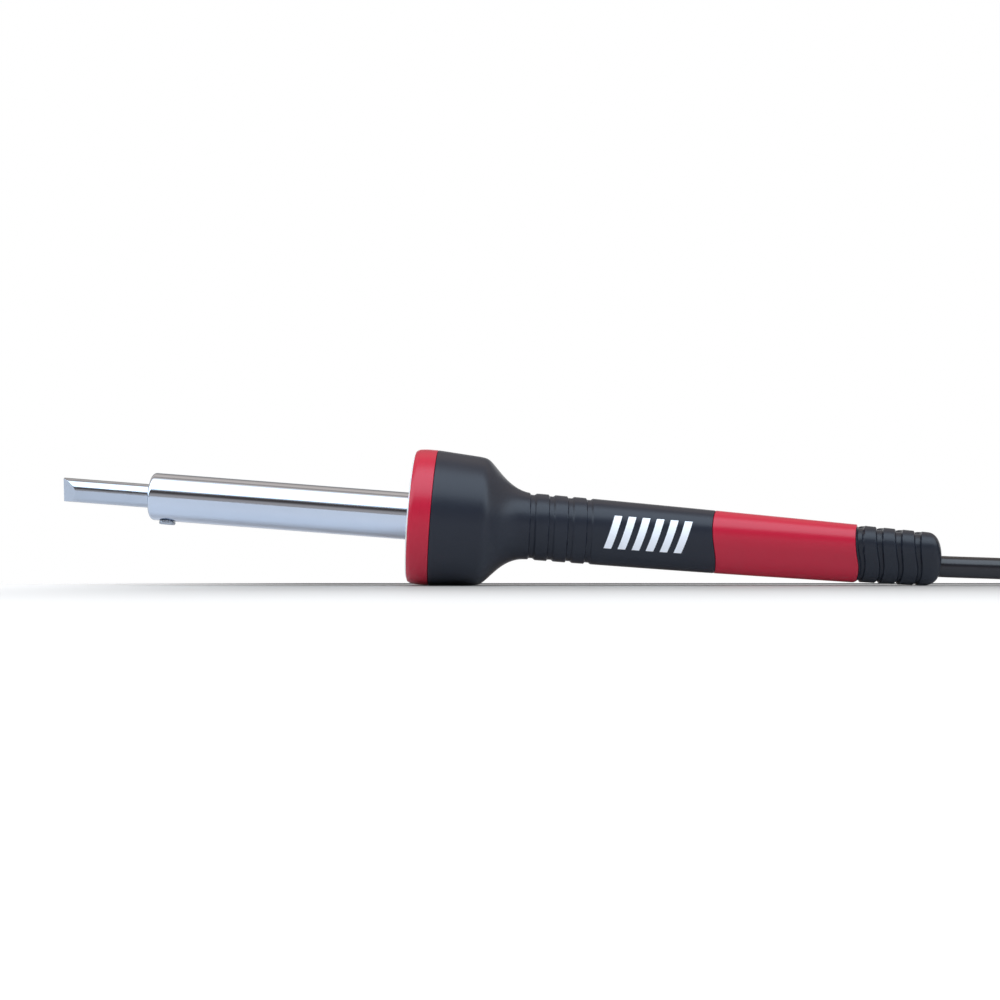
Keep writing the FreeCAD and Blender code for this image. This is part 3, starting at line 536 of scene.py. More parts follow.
# %% The lead's control points and its curve
CORD_DROP = 2.6
inside = on_iron([[RELIEF_END - 26.0, 0.0, -CORD_DROP], [RELIEF_END - 12.0, 0.0, -CORD_DROP - 0.02],
                  [RELIEF_END, 0.0, -CORD_DROP]])
on_bench = np.array([[133.0, -0.3, 4.6], [149.0, -2.4, 3.9], [165.0, -7.6, 3.5], [182.0, -13.4, 3.4],
                     [198.0, -15.2, 3.4]]) * MM
to_plug = np.array([[246.8, 25.4, 16.9], [236.8, 24.6, 21.45], [226.5, 22.2, 26.55], [217.2, 18.3, 28.45],
                    [206.6, 12.6, 28.4], [196.0, 7.0, 28.45]]) * MM
route = np.vstack([inside, on_bench, hank_turns(), to_plug])


def smooth_line(name, points, thickness):
    """NURBS curve of order 3 drawn out by its control points, as a round tube."""
    data = bpy.data.curves.new(name, "CURVE")
    data.dimensions = "3D"
    data.resolution_u = 3
    data.bevel_depth = thickness / 2
    data.bevel_resolution = 7
    data.use_fill_caps = True
    spline = data.splines.new("NURBS")
    spline.points.add(len(points) - 1)
    weights = np.hstack([points, np.ones((len(points), 1))])
    spline.points.foreach_set("co", weights.ravel())
    spline.order_u = 3
    spline.use_endpoint_u = True
    piece = bpy.data.objects.new(name, data)
    bpy.context.scene.collection.objects.link(piece)
    return piece


mains_lead = smooth_line("mains_lead", route, CORD_DIAMETER)
dress(mains_lead, CORD_BLACK)
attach(mains_lead, "iron")
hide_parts("mains_cord", "cord_hank", "plug_lead")

# %% [markdown]
# ## The tie
# A vinyl tie is wrapped once round the near side of the hank. Its section is a rounded rectangle, drawn
# a little tighter in the middle of its width, and its two edges are rolled over.

# %% The tie
tie_low, tie_high = (np.array(corner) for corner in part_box("cord_tie"))
BAND_THICKNESS, BAND_CORNER = 0.45 * MM, 2.6 * MM
BAND_SECTION = [(-1, 0.5), (-0.96, 0.1), (-0.86, 0), (-0.4, 0.06), (0, 0.1), (0.4, 0.06), (0.86, 0),
                (0.96, 0.1), (1, 0.5), (0.96, 0.9), (0, 0.95), (-0.96, 0.9)]


def band_loop(half_y, half_z, corner, steps=10):
    """Rounded rectangle: four quarter circles of the corner radius joined by straight sides."""
    loop = []
    for quarter in range(4):
        turn = np.radians(90.0 * quarter) + np.linspace(0, math.pi / 2, steps)
        sign_y = 1 if quarter in (0, 3) else -1
        sign_z = 1 if quarter in (0, 1) else -1
        loop.append(np.stack([sign_y * (half_y - corner) + corner * np.cos(turn),
                              sign_z * (half_z - corner) + corner * np.sin(turn)], axis=-1))
    return np.vstack(loop)


def make_tie():
    """Band whose rows (share of half its width, share of its thickness inward) follow its section and
    whose columns go round."""
    centre = (tie_low + tie_high) / 2
    half = (tie_high - tie_low) / 2
    rows = []
    for across, skin in BAND_SECTION:
        inset = skin * BAND_THICKNESS
        loop = band_loop(half[1] - inset, half[2] - inset, BAND_CORNER - inset)
        rows.append(np.column_stack([np.full(len(loop), centre[0] + across * half[0]),
                                     centre[1] + loop[:, 0], centre[2] + loop[:, 1]]))
    rows = np.array(rows)
    faces = grid_faces(rows.shape[0], rows.shape[1], True, True)
    return link_mesh("hank_tie", rows.reshape(-1, 3), faces, 50.0)


hank_tie = make_tie()
dress(hank_tie, TIE_BLACK)
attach(hank_tie, "iron")
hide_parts("cord_tie")
tell(hank_tie)

# %% [markdown]
# ## The plug
# The plug is one soft moulding: a rounded body that narrows at a finger grip, and a ringed sleeve that
# bends with the lead. Both are lofts of squared circles along the plug's own axis, which is read from
# its earth pin.

# %% The plug's axis
pin_mount = next(m for m in frame["record"]["mounts"] if m["name"] == "plug_earth_pin")
PLUG_AXIS = np.array(pin_mount["axis"], float)
PLUG_SIDE = np.array([-PLUG_AXIS[1], PLUG_AXIS[0], 0.0])
PLUG_REAR = to_plug[-1]


def on_plug(points):
    """Points (along, side, up) in mm from the middle of the plug's rear face, in the bench frame."""
    basis = np.stack([PLUG_AXIS, PLUG_SIDE, np.array([0.0, 0.0, 1.0])])
    return PLUG_REAR + (np.asarray(points, float) @ basis) * MM


def squared_circle(half_width, half_height, power, columns):
    """Superellipse: each coordinate is the circle's, raised to 2 / power, so high powers are boxy."""
    c, s = np.cos(ring_angles(columns)), np.sin(ring_angles(columns))
    side = half_width * np.sign(c) * np.abs(c) ** (2 / power)
    up = half_height * np.sign(s) * np.abs(s) ** (2 / power)
    return side, up


def plug_loft(name, stations, columns=72, sharp=40.0):
    """Loft of (place, half width, half height, power) stations, each joined straight to the next."""
    stations = np.array(stations, float)
    sections = []
    for place, width, height, power in stations:
        side, up = squared_circle(width, height, power, columns)
        sections.append(np.column_stack([np.full(columns, place), side, up]))
    sections = np.array(sections)
    points = on_plug(sections.reshape(-1, 3))
    return link_mesh(name, points, grid_faces(len(stations), columns, False, True), sharp)


print("plug axis", PLUG_AXIS, "rear", PLUG_REAR)

# %% [markdown]
# ## Body and sleeve of the plug
# Each is a list of stations: place, half width, half height and how boxy the section is. Five repeated
# finger ridges and five repeated rings come from loops, so their pitch is easy to change.

# %% Plug body and sleeve
PLUG_LENGTH = 32.0
RIDGE_COUNT, RIDGE_FIRST, RIDGE_PITCH = 5, 8.0, 3.0
RING_COUNT, RING_FIRST, RING_PITCH = 5, 2.0, 4.1


def make_plug_body():
    """Front face flat for the socket, then a waist of finger ridges, then a rounded back."""
    stations = [(PLUG_LENGTH, 0.02, 0.02, 2.5), (PLUG_LENGTH, 11.6, 9.2, 4.5),
                (PLUG_LENGTH - 0.3, 12.5, 10.1, 4.5), (PLUG_LENGTH - 1.0, 12.95, 10.45, 4.5),
                (PLUG_LENGTH - 4.0, 13.0, 10.5, 4.5), (PLUG_LENGTH - 6.0, 12.6, 10.3, 4.2)]
    for index in range(RIDGE_COUNT):
        place = PLUG_LENGTH - RIDGE_FIRST - RIDGE_PITCH * index
        width = 11.7 - 0.25 * index
        stations += [(place + 0.9, width - 0.5, 9.9 - 0.3 * index, 4.0),
                     (place, width + 0.1, 10.1 - 0.3 * index, 4.0),
                     (place - 0.9, width + 0.1, 10.1 - 0.3 * index, 4.0)]
    stations += [(8.0, 9.8, 8.6, 3.4), (4.0, 8.4, 7.8, 3.0), (1.6, 7.6, 7.2, 2.7), (0.4, 6.9, 6.6, 2.5),
                 (0.0, 6.1, 6.0, 2.3), (0.0, 0.02, 0.02, 2.0)]
    return plug_loft("plug_moulding", stations)


def make_plug_sleeve():
    """Tapered sleeve with five rings cut into it, open for the lead."""
    stations = [(-0.02, 3.0, 3.0, 2.0), (-0.02, 5.9, 5.9, 2.0)]
    for index in range(RING_COUNT):
        place = -RING_FIRST - RING_PITCH * index
        radius = 5.8 - 0.36 * index
        stations += [(place - back, radius - less, radius - less, 2.0)
                     for back, less in ((0.0, 0.0), (0.5, 0.7), (1.3, 0.75), (1.7, 0.15))]
    stations += [(-22.5, 4.05, 4.05, 2.0), (-23.0, 3.8, 3.8, 2.0), (-23.0, 2.95, 2.95, 2.0)]
    return plug_loft("plug_sleeve", stations + [stations[0]], 48)


plug_moulding, plug_sleeve = make_plug_body(), make_plug_sleeve()
for piece, node in ((plug_moulding, "plug_body"), (plug_sleeve, "plug_relief")):
    dress(piece, PLUG_BLACK)
    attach(piece, "iron")
    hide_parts(node)
    tell(piece)

# %% [markdown]
# ## The tip
# The tip is a quarter inch rod. Two flats, ground at the same angle on both sides, meet in a blunt edge.
# The rod's points are pushed in to the nearer flat wherever they stand outside it, which cuts the clean
# curved boundary that a real chisel tip has.

# %% Chisel tip
CHISEL_LENGTH, EDGE_HALF, CHISEL_TURN = 3.9, 0.45, math.radians(18.0)
TIP_COLUMNS, TIP_ROUNDING = 160, 0.6


def make_tip():
    """Rod of the tip's radius; across the flats its reach is at most EDGE_HALF + place * slope."""
    slope = (TIP_RADIUS - EDGE_HALF) / CHISEL_LENGTH
    place = np.concatenate([[0.0, 0.0], np.linspace(0.02, 4.4, 60), [6.0, 15.0, 30.0],
                            [TIP_REAR - TIP_ROUNDING, TIP_REAR, TIP_REAR]])
    radius = np.full(len(place), TIP_RADIUS)
    radius[[0, 1, -2, -1]] = 0.0, TIP_RADIUS - 0.08, TIP_RADIUS - TIP_ROUNDING, 0.0
    angle = ring_angles(TIP_COLUMNS)
    across = radius[:, None] * np.cos(angle)
    along_edge = radius[:, None] * np.sin(angle)
    limit = (EDGE_HALF + np.maximum(place, 0) * slope)[:, None]
    across = np.clip(across, -limit, limit)
    side = -(across * math.cos(CHISEL_TURN) + along_edge * math.sin(CHISEL_TURN))
    up = along_edge * math.cos(CHISEL_TURN) - across * math.sin(CHISEL_TURN)
    points = np.stack([np.broadcast_to(place[:, None], across.shape), side, up], axis=-1)
    faces = grid_faces(len(place), TIP_COLUMNS, False, True)
    return link_mesh("working_tip", on_iron(points.reshape(-1, 3)), faces, 22.0)


working_tip = make_tip()
dress(working_tip, TIP_PLATE)
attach(working_tip, "tip")
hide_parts("chisel_tip")
tell(working_tip)

# %% [markdown]
# ## The barrel
# The barrel is a thin drawn tube. Its nose is rolled in to a small radius round the tip, and its wall is
# half a millimetre. The outline goes down the outside and back up the inside, so the tube is a real one.

# %% Barrel
BARREL_WALL, NOSE_GAP = 0.5, 0.3
barrel_outline = rounded([
    (BARREL_FRONT, TIP_RADIUS + NOSE_GAP, 0.1), (BARREL_FRONT, BARREL_RADIUS, 1.05),
    (BARREL_REAR, BARREL_RADIUS, 0), (BARREL_REAR, BARREL_RADIUS - BARREL_WALL, 0),
    (BARREL_FRONT + BARREL_WALL, BARREL_RADIUS - BARREL_WALL, 0.4),
    (BARREL_FRONT + BARREL_WALL, TIP_RADIUS + NOSE_GAP, 0.1)], 8)
barrel_tube = lathe("barrel_tube", barrel_outline, 160, 40.0)
dress(barrel_tube, BARREL_STEEL)
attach(barrel_tube, "iron")
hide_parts("barrel")
tell(barrel_tube)

# %% [markdown]
# ## The retaining screw
# A small cheese-headed screw under the nose holds the tip. The head is a disc with a rounded rim, and its
# slot is pressed into the grid of the face by a smooth step across the slot's width.

# %% Retaining screw
screw_joint = next(joint for joint in frame["joints"] if joint["name"] == "retaining_screw_turn")
SCREW_FOOT = (np.array(screw_joint["pos_m"], float) - TIP_POINT) / MM
SCREW_PLACE = float(SCREW_FOOT @ AXIS)
HEAD_TOP, HEAD_SIZE, SHANK_SIZE, SHANK_LENGTH = 0.96, 2.15, 1.5, 3.0
SLOT_HALF, SLOT_DEPTH, SLOT_TURN = 0.33, 0.55, math.radians(25)
SCREW_COLUMNS, FACE_ROWS = 120, 24


def make_screw():
    """Disc and shank turned about a downward axis; depth = slot depth * (1 - step) inside the slot."""
    outline = rounded([(-SHANK_LENGTH, 0.0, 0), (-SHANK_LENGTH, SHANK_SIZE, 0.2), (0.05, SHANK_SIZE, 0),
                       (0.05, HEAD_SIZE, 0.15), (HEAD_TOP, HEAD_SIZE, 0.6), (HEAD_TOP, 0.0, 0)], 5)
    face = np.column_stack([np.full(FACE_ROWS, HEAD_TOP), np.linspace(HEAD_SIZE - 0.62, 0.0, FACE_ROWS)])
    outline = np.vstack([outline[:-1], face])
    angle = ring_angles(SCREW_COLUMNS)
    a = outline[:, 1:2] * np.cos(angle)
    b = outline[:, 1:2] * np.sin(angle)
    across = np.abs(a * math.sin(SLOT_TURN) - b * math.cos(SLOT_TURN))
    top = smooth_step(HEAD_TOP - 0.35, HEAD_TOP - 0.3, outline[:, :1])
    inside_slot = 1 - smooth_step(SLOT_HALF - 0.06, SLOT_HALF + 0.02, across)
    down = outline[:, :1] - SLOT_DEPTH * top * inside_slot
    points = np.stack([SCREW_PLACE + a, b, -BARREL_RADIUS - down], axis=-1).reshape(-1, 3)
    return link_mesh("tip_screw", on_iron(points), grid_faces(len(outline), SCREW_COLUMNS, False, True), 30.0)


tip_screw = make_screw()
dress(tip_screw, SCREW_STEEL)
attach(tip_screw, "screw")
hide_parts("retaining_screw")
tell(tip_screw)

# %% [markdown]
# ## The lit ring
# A frosted disc lets the lamps shine on the work. It bulges a little towards the barrel. The red ring
# holds it at its rim, with a generous rounding at the front edge.

# %% Lens and red ring
LENS_HOLE = BARREL_RADIUS + 0.15
lens_outline = rounded([
    (LENS_FRONT, LENS_HOLE, 0.1), (LENS_FRONT, BARREL_RADIUS + 2.4, 0.4),
    (LENS_FRONT + 0.3, BARREL_RADIUS + 7.0, 2.0), (RING_FRONT - 0.3, LENS_RADIUS - 0.2, 0.5),
    (RING_FRONT + 0.3, LENS_RADIUS, 0.2), (LENS_REAR, LENS_RADIUS, 0.2), (LENS_REAR, LENS_HOLE, 0.1)])
halo_disc = lathe("halo_disc", lens_outline, 160)
dress(halo_disc, LENS_WHITE)
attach(halo_disc, "iron")
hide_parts("halo_lens")
tell(halo_disc)

RING_INSIDE, RING_SEAT = HEAD_RADIUS - 1.1, HEAD_RADIUS - 2.1
RING_BACK, SEAT_FRONT = RING_REAR - 0.03, LENS_REAR + 0.05
ring_outline = rounded([
    (RING_FRONT, RING_INSIDE, 0.15), (RING_FRONT, HEAD_RADIUS - 0.72, 0.5),
    (RING_FRONT + 0.9, HEAD_RADIUS - 0.18, 1.6), (RING_FRONT + 2.9, HEAD_RADIUS, 6.0),
    (RING_BACK, HEAD_RADIUS, 0.12), (RING_BACK, RING_SEAT, 0.1), (SEAT_FRONT, RING_SEAT, 0.1),
    (SEAT_FRONT, RING_INSIDE, 0.05)], 7)
halo_ring = lathe("halo_ring", ring_outline, 192)
dress(halo_ring, RED)
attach(halo_ring, "iron")
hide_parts("red_ring")
tell(halo_ring)

# %% [markdown]
# ## The handle's shape
# From the neck back, the section is a circle drawn out into three soft corners, one of them straight
# down, which keeps the iron from rolling. The seams between the black and the red parts are not flat
# rings: they bow towards the tip on both sides. One function holds the section and one the bow.

# %% Section and seams
TAPER_PLACE, TAPER_LENGTH = 128.4, 81.8
NECK_RADIUS, TAPER_FALL, BELLY = 8.93, 1.14, 0.12
LOBE_AT_NECK, LOBE_RISE, LOBE_FADE = 0.031, 0.00086, (118.0, 126.0)
SHELL_COLUMNS = 144


def handle_radius(place):
    """Mean radius: a straight taper with a faint belly, neck - fall * share + belly * sin(pi * share)."""
    share = (place - TAPER_PLACE) / TAPER_LENGTH
    return NECK_RADIUS - TAPER_FALL * share + BELLY * np.sin(math.pi * np.clip(share, 0, 1))


def lobe(place):
    """Share of the radius by which the three corners stand out; nothing on the round head."""
    return (LOBE_AT_NECK + LOBE_RISE * (place - TAPER_PLACE)) * smooth_step(*LOBE_FADE, place)


def three_corners(place, angle):
    """The section's swing about its mean radius: lobe * cos(3 * (angle + a quarter turn))."""
    return lobe(place) * np.cos(3 * (angle + math.pi / 2))


def seam_bow(angle, third, lean, dip):
    """Shift of a seam: -third * sin(3 angle) - lean * sin(angle) - dip * cos(angle) squared."""
    return -third * np.sin(3 * angle) - lean * np.sin(angle) - dip * np.cos(angle) ** 2


GRIP_BOW = {"third": 0.30, "lean": 0.675, "dip": 1.675}
RELIEF_BOW = {"third": 0.42, "lean": 0.67, "dip": 1.81}
RIB_BOW = {"third": 0.42, "lean": 0.42, "dip": 1.35}


def closed_shell(name, along, reach, drop=0.0):
    """Closed mesh whose rows follow an outline out and back, and whose columns go round the axis."""
    points = round_axis(along, reach, ring_angles(SHELL_COLUMNS), drop)
    return link_mesh(name, points, grid_faces(len(along), SHELL_COLUMNS, True, True))


print("radius at the neck and at the seam", handle_radius(TAPER_PLACE), handle_radius(GRIP_REAR))

# %% [markdown]
# ## The soft grip
# The black grip is moulded over the handle: a round head behind the red ring, a shoulder that falls to
# the neck in one curve, four finger grooves, and a plain stretch up to the red part.

# %% Soft grip
SHOULDER_PLACE, CAVITY_RADIUS, HEAD_WALL = 109.5, 15.2, 1.9
GROOVE_COUNT, GROOVE_FIRST, GROOVE_PITCH, GROOVE_WIDTH, GROOVE_DEPTH = 4, 125.9, 5.0, 1.95, 0.42
GRIP_SEAM, GRIP_BORE = 174.875, 6.05
SHOULDER_CURVE = np.array([
    (SHOULDER_PLACE, 17.38), (111.2, 17.22), (112.4, 16.98), (113.4, 16.45), (114.3, 15.65),
    (115.2, 14.72), (116.4, 13.45), (117.8, 12.10), (119.2, 10.98), (121.1, 9.86), (123.0, 9.18),
    (124.8, 8.93), (127.0, 8.92)])


def eased(stations, value):
    """Cubic through (place, radius) stations whose slope at each is the mean slope of its neighbours."""
    place, radius = stations.T
    slope = np.gradient(radius, place)
    index = np.clip(np.searchsorted(place, value) - 1, 0, len(place) - 2)
    width = place[index + 1] - place[index]
    t = np.clip((value - place[index]) / width, 0, 1)
    start = (2 * t ** 3 - 3 * t ** 2 + 1) * radius[index] + (t ** 3 - 2 * t ** 2 + t) * width * slope[index]
    end = (3 * t ** 2 - 2 * t ** 3) * radius[index + 1] + (t ** 3 - t ** 2) * width * slope[index + 1]
    return start + end


def head_radius(place):
    """Straight flank behind the ring, then the shoulder's curve, then the handle's own taper."""
    first, last = SHOULDER_CURVE[0], SHOULDER_CURVE[-1]
    flank = HEAD_RADIUS + (first[1] - HEAD_RADIUS) * (place - RING_REAR) / (first[0] - RING_REAR)
    neck = handle_radius(np.maximum(place, TAPER_PLACE))
    shoulder = eased(SHOULDER_CURVE, place)
    return np.where(place < first[0], flank, np.where(place > last[0], neck, shoulder))


def grip_grooves(place, angle):
    """Four grooves with a steep wall on the tip's side and a soft one behind."""
    depth = np.zeros(np.broadcast(place, angle).shape)
    for index in range(GROOVE_COUNT):
        t = (place - GROOVE_FIRST - index * GROOVE_PITCH + 0.32 * np.sin(angle)) / GROOVE_WIDTH
        depth += smooth_step(-0.5, -0.34, t) * (1 - smooth_step(0.12, 0.5, t))
    return GROOVE_DEPTH * depth


def make_grip():
    """Outer skin from the ring to the seam, turned in at both ends, and the round bore inside."""
    front = RING_REAR + 0.03
    outside = np.concatenate([
        [front + 0.02, front + 0.1, front + 0.3], np.linspace(front + 1.2, SHOULDER_PLACE - 0.8, 9),
        np.linspace(SHOULDER_PLACE, 123.5, 52), np.arange(123.7, 145.0, 0.17),
        np.linspace(146.0, GRIP_SEAM - 0.9, 26), [GRIP_SEAM - 0.35, GRIP_SEAM - 0.12, GRIP_SEAM - 0.02]])
    radius = head_radius(outside)
    radius[:2] -= [0.22, 0.06]
    radius[-2:] -= [0.05, 0.20]
    inner_place = np.array([GRIP_SEAM - 0.02, GRIP_SEAM - 0.5, 117.0, 112.0, 108.5, front + 0.02])
    inner_radius = np.array([7.2, GRIP_BORE, GRIP_BORE, 12.0, CAVITY_RADIUS, HEAD_RADIUS - HEAD_WALL])
    place = np.concatenate([outside, inner_place])[:, None]
    radius = np.concatenate([radius, inner_radius])[:, None]
    angle = ring_angles(SHELL_COLUMNS)
    grooves = grip_grooves(place, angle)
    grooves[len(outside):] = 0.0
    along = place + smooth_step(150.0, GRIP_SEAM, place) * seam_bow(angle, **GRIP_BOW)
    return closed_shell("soft_grip", along, radius * (1 + three_corners(place, angle)) - grooves)


soft_grip = make_grip()
dress(soft_grip, SOFT_BLACK)
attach(soft_grip, "iron")
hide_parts("front_grip")
tell(soft_grip)

# %% [markdown]
# ## The red handle
# The red part is hard plastic. It shows between the grip and the strain relief, flush with both, and
# carries on forward inside the grip as a liner tube that ends in a cup for the barrel's flange.

# %% Red handle
HANDLE_END = 212.85
CUP_FRONT, CUP_DEPTH, CUP_RADIUS = measure("handle_core")[0], 6.0, 14.8
LINER_OUTSIDE, LINER_BORE, REAR_BORE, REAR_BORE_FRONT = 5.95, 4.9, 6.0, 180.0


def make_red_handle():
    """Outer skin between the two seams, then the rear bore, the liner's bore, the cup and the liner."""
    front = GRIP_SEAM + 0.03
    outside = np.concatenate([
        [front, front + 0.1, front + 0.4], np.linspace(front + 1.2, HANDLE_END - 1.2, 30),
        [HANDLE_END - 0.4, HANDLE_END - 0.1, HANDLE_END]])
    radius = handle_radius(outside)
    radius[:2] -= [0.20, 0.05]
    radius[-2:] -= [0.05, 0.20]
    inner = np.array([
        (HANDLE_END, 6.6), (HANDLE_END - 1.0, REAR_BORE), (REAR_BORE_FRONT + 1.0, REAR_BORE),
        (REAR_BORE_FRONT, LINER_BORE), (CUP_FRONT + 0.3, LINER_BORE), (CUP_FRONT, LINER_BORE + 0.3),
        (CUP_FRONT, CUP_RADIUS), (CUP_FRONT + CUP_DEPTH, CUP_RADIUS), (CUP_FRONT + CUP_DEPTH, LINER_OUTSIDE),
        (front - 2.6, LINER_OUTSIDE), (front, 6.6)])
    place = np.concatenate([outside, inner[:, 0]])
    full = np.concatenate([radius, inner[:, 1]])
    grip_share = 1 - smooth_step(front, front + 22.0, place)
    rear_share = smooth_step(HANDLE_END - 14.0, HANDLE_END, place)
    grip_share[len(outside):] = 0.0
    grip_share[-1] = 1.0
    rear_share[len(outside) + 2:] = 0.0
    angle = ring_angles(SHELL_COLUMNS)
    front_bow = grip_share[:, None] * seam_bow(angle, **GRIP_BOW)
    rear_bow = rear_share[:, None] * seam_bow(angle, **RELIEF_BOW)
    corners = three_corners(place[:, None], angle)
    corners[len(outside):] = 0.0
    return closed_shell("red_handle", place[:, None] + (front_bow + rear_bow), full[:, None] * (1 + corners))


red_handle = make_red_handle()
dress(red_handle, RED)
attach(red_handle, "iron")
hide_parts("handle_core")
tell(red_handle)

# %% [markdown]
# ## The strain relief
# A rubber sleeve of four ribs ends the handle. Each rib has a steep wall facing the tip, a flat top that
# falls a little to the rear, and a notch before the next. The end is domed round the lead.

# %% Strain relief
RIB_COUNT, RIB_FIRST, RIB_PITCH, RIB_DEPTH, NOTCH_WIDTH = 4, 214.6, 5.08, 0.66, 1.5
THIN, TAPER, TAPER_START, DOME = 0.1, 0.0095, 206.0, 3.7
BORE_RADIUS, SHANK_RADIUS = CORD_DIAMETER / MM / 2 + 0.02, 5.95


def rib_notches(place, angle):
    """Notch before each rib: a soft fall from the rib ahead, a flat foot and a steep wall facing the tip."""
    depth = np.zeros(np.broadcast(place, angle).shape)
    width = NOTCH_WIDTH + 0.45 * np.sin(angle)
    for index in range(RIB_COUNT):
        t = place - (RIB_FIRST + index * RIB_PITCH) - seam_bow(angle, **RIB_BOW)
        fall = smooth_step(-width - 0.35, -width + 0.35, t)
        depth += (RIB_DEPTH + 0.15 * np.sin(angle)) * fall * (1 - smooth_step(-0.16, 0.06, t))
    return depth


def make_relief():
    """Skin from the seam to the end, which is drawn in round the lead, the bore, and the shank inside."""
    front = HANDLE_END + 0.04
    outside = np.concatenate([
        [front, front + 0.1, front + 0.3], np.arange(front + 0.42, RELIEF_END - DOME, 0.12)])
    turn = np.linspace(0, math.pi / 2, 18)
    dome_place = RELIEF_END - DOME + DOME * np.sin(turn)
    place = np.concatenate([outside, dome_place])
    radius = handle_radius(place) - THIN - TAPER * (place - TAPER_START)
    radius[:2] -= [0.20, 0.05]
    drawn = 1 - np.cos(turn)
    drop = np.zeros(len(place))
    drop[len(outside):] = CORD_DROP * drawn
    radius[len(outside):] += (BORE_RADIUS + 0.45 - radius[len(outside):]) * drawn
    corner_share = np.ones(len(place))
    corner_share[len(outside):] = 1 - drawn
    count = len(place)
    inner = np.array([
        (RELIEF_END - 0.03, BORE_RADIUS + 0.2), (RELIEF_END - 0.3, BORE_RADIUS),
        (RELIEF_FRONT + 0.3, BORE_RADIUS), (RELIEF_FRONT, BORE_RADIUS + 0.3),
        (RELIEF_FRONT, SHANK_RADIUS - 0.25), (RELIEF_FRONT + 0.3, SHANK_RADIUS),
        (front - 2.6, SHANK_RADIUS), (front, 6.6)])
    place = np.concatenate([place, inner[:, 0]])
    radius = np.concatenate([radius, inner[:, 1]])
    drop = np.concatenate([drop, [CORD_DROP] * 4, [0.0] * 4])
    corner_share = np.concatenate([corner_share, np.zeros(len(inner))])
    share = 1 - smooth_step(front, front + 1.6, place)
    share[count:] = 0.0
    share[-1] = 1.0
    angle = ring_angles(SHELL_COLUMNS)
    corners = corner_share[:, None] * three_corners(place[:, None], angle)
    along = place[:, None] + share[:, None] * seam_bow(angle, **RELIEF_BOW)
    cut = rib_notches(along, angle)
    cut[count:] = 0.0
    cut[:3] *= 0.9
    return closed_shell("ribbed_relief", along, radius[:, None] * (1 + corners) - cut, drop[:, None])


ribbed_relief = make_relief()
dress(ribbed_relief, RELIEF_BLACK)
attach(ribbed_relief, "iron")
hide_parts("strain_relief")
tell(ribbed_relief)

# %% [markdown]
# ## The printed mark
# The grip carries a white print. Here it is a plain row of slanted bars: thin slabs that follow the
# grip's surface and stand a few hundredths of a millimetre proud of it, as thick ink does.

# %% Printed bars
MARK_START, BAR_PITCH, BAR_WIDTH, BAR_SLANT, BAR_COUNT = 146.0, 3.7, 2.0, 2.2, 6
BAR_LOWEST, BAR_SWEEP, BAR_PROUD, BAR_SUNK = -34.0, 60.0, 0.035, -0.10


def make_mark():
    """Slabs on the grip: place = start + width * a + slant * (b - 1/2), angle = lowest + sweep * b."""
    points, faces = [], []
    steps_a, steps_b = 5, 15
    a, b = np.meshgrid(np.linspace(0, 1, steps_a), np.linspace(0, 1, steps_b), indexing="ij")
    for index in range(BAR_COUNT):
        angle = np.radians(BAR_LOWEST + BAR_SWEEP * b)
        place = MARK_START + index * BAR_PITCH + BAR_WIDTH * a + BAR_SLANT * (b - 0.5)
        surface = handle_radius(place) * (1 + three_corners(place, angle))
        top_skin = round_axis(place, surface + BAR_PROUD, angle)
        under_skin = round_axis(place[::-1], (surface + BAR_SUNK)[::-1], angle[::-1])
        first = index * 2 * steps_a * steps_b
        rim = np.arange(steps_a)
        mirror = 2 * steps_a - 1 - rim
        for column in (0, steps_b - 1):
            top, under = rim * steps_b + column + first, mirror * steps_b + column + first
            faces.append(np.stack([top[:-1], top[1:], under[1:], under[:-1]], axis=-1))
        points += [top_skin, under_skin]
        faces.append(grid_faces(2 * steps_a, steps_b, True, False) + first)
    return link_mesh("printed_bars", np.vstack(points), np.vstack(faces), 40.0)


printed_bars = make_mark()
dress(printed_bars, PRINT_WHITE)
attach(printed_bars, "iron")
tell(printed_bars)

# %% [markdown]
# ## The bench
# The bench is plain and pale and seen edge on. Close to the iron it carries a painted shadow and reflection,
# a soft grey which fades to white towards the viewer and to the left, and a thin dark line of painted shade
# ends it. It is made of two sheets: one that only the camera sees, which carries the painted shade, and a
# plain one just below it that gives its light back to the iron.

# %% Bench
BENCH_LOW, BENCH_HIGH, BOUNCE_HEIGHT = (-3.0, -1.2), (3.0, 0.046), -0.0002
# Between these two places along the bench the painted shade fades out to the left.
PAINTED_SHADE_ALONG = (-0.135, -0.045)
# Least share of the painted shade on the left, and the strip's painted glow there.
LEAST_PAINTED_SHADE, PAINTED_STRIP_GLOW = 0.12, 0.93
STRIP_LOW, STRIP_HIGH = (-1.0, 0.045, 0.0), (1.0, 0.047, 0.0002)
# Greys of the painted shadow and reflection, by place across the bench.
BENCH_PAINTED_SHADE_GREYS = [(-0.25, 1.0), (-0.176, 0.88), (-0.146, 0.79), (-0.105, 0.66), (-0.079, 0.57),
               (-0.046, 0.48), (-0.006, 0.34), (0.046, 0.26)]


def object_axes(tree):
    """The three object coordinates of a material, each as its own socket."""
    where = tree.nodes.new("ShaderNodeSeparateXYZ")
    tree.links.new(tree.nodes.new("ShaderNodeTexCoord").outputs["Object"], where.inputs[0])
    return where.outputs


def remapped(tree, kind, ranges, source):
    """Map Range node: From Min, From Max, To Min and To Max, read from the given socket."""
    node = tree.nodes.new("ShaderNodeMapRange")
    node.interpolation_type = kind
    for label, value in zip(("From Min", "From Max", "To Min", "To Max"), ranges):
        node.inputs[label].default_value = value
    tree.links.new(source, node.inputs["Value"])
    return node.outputs[0]


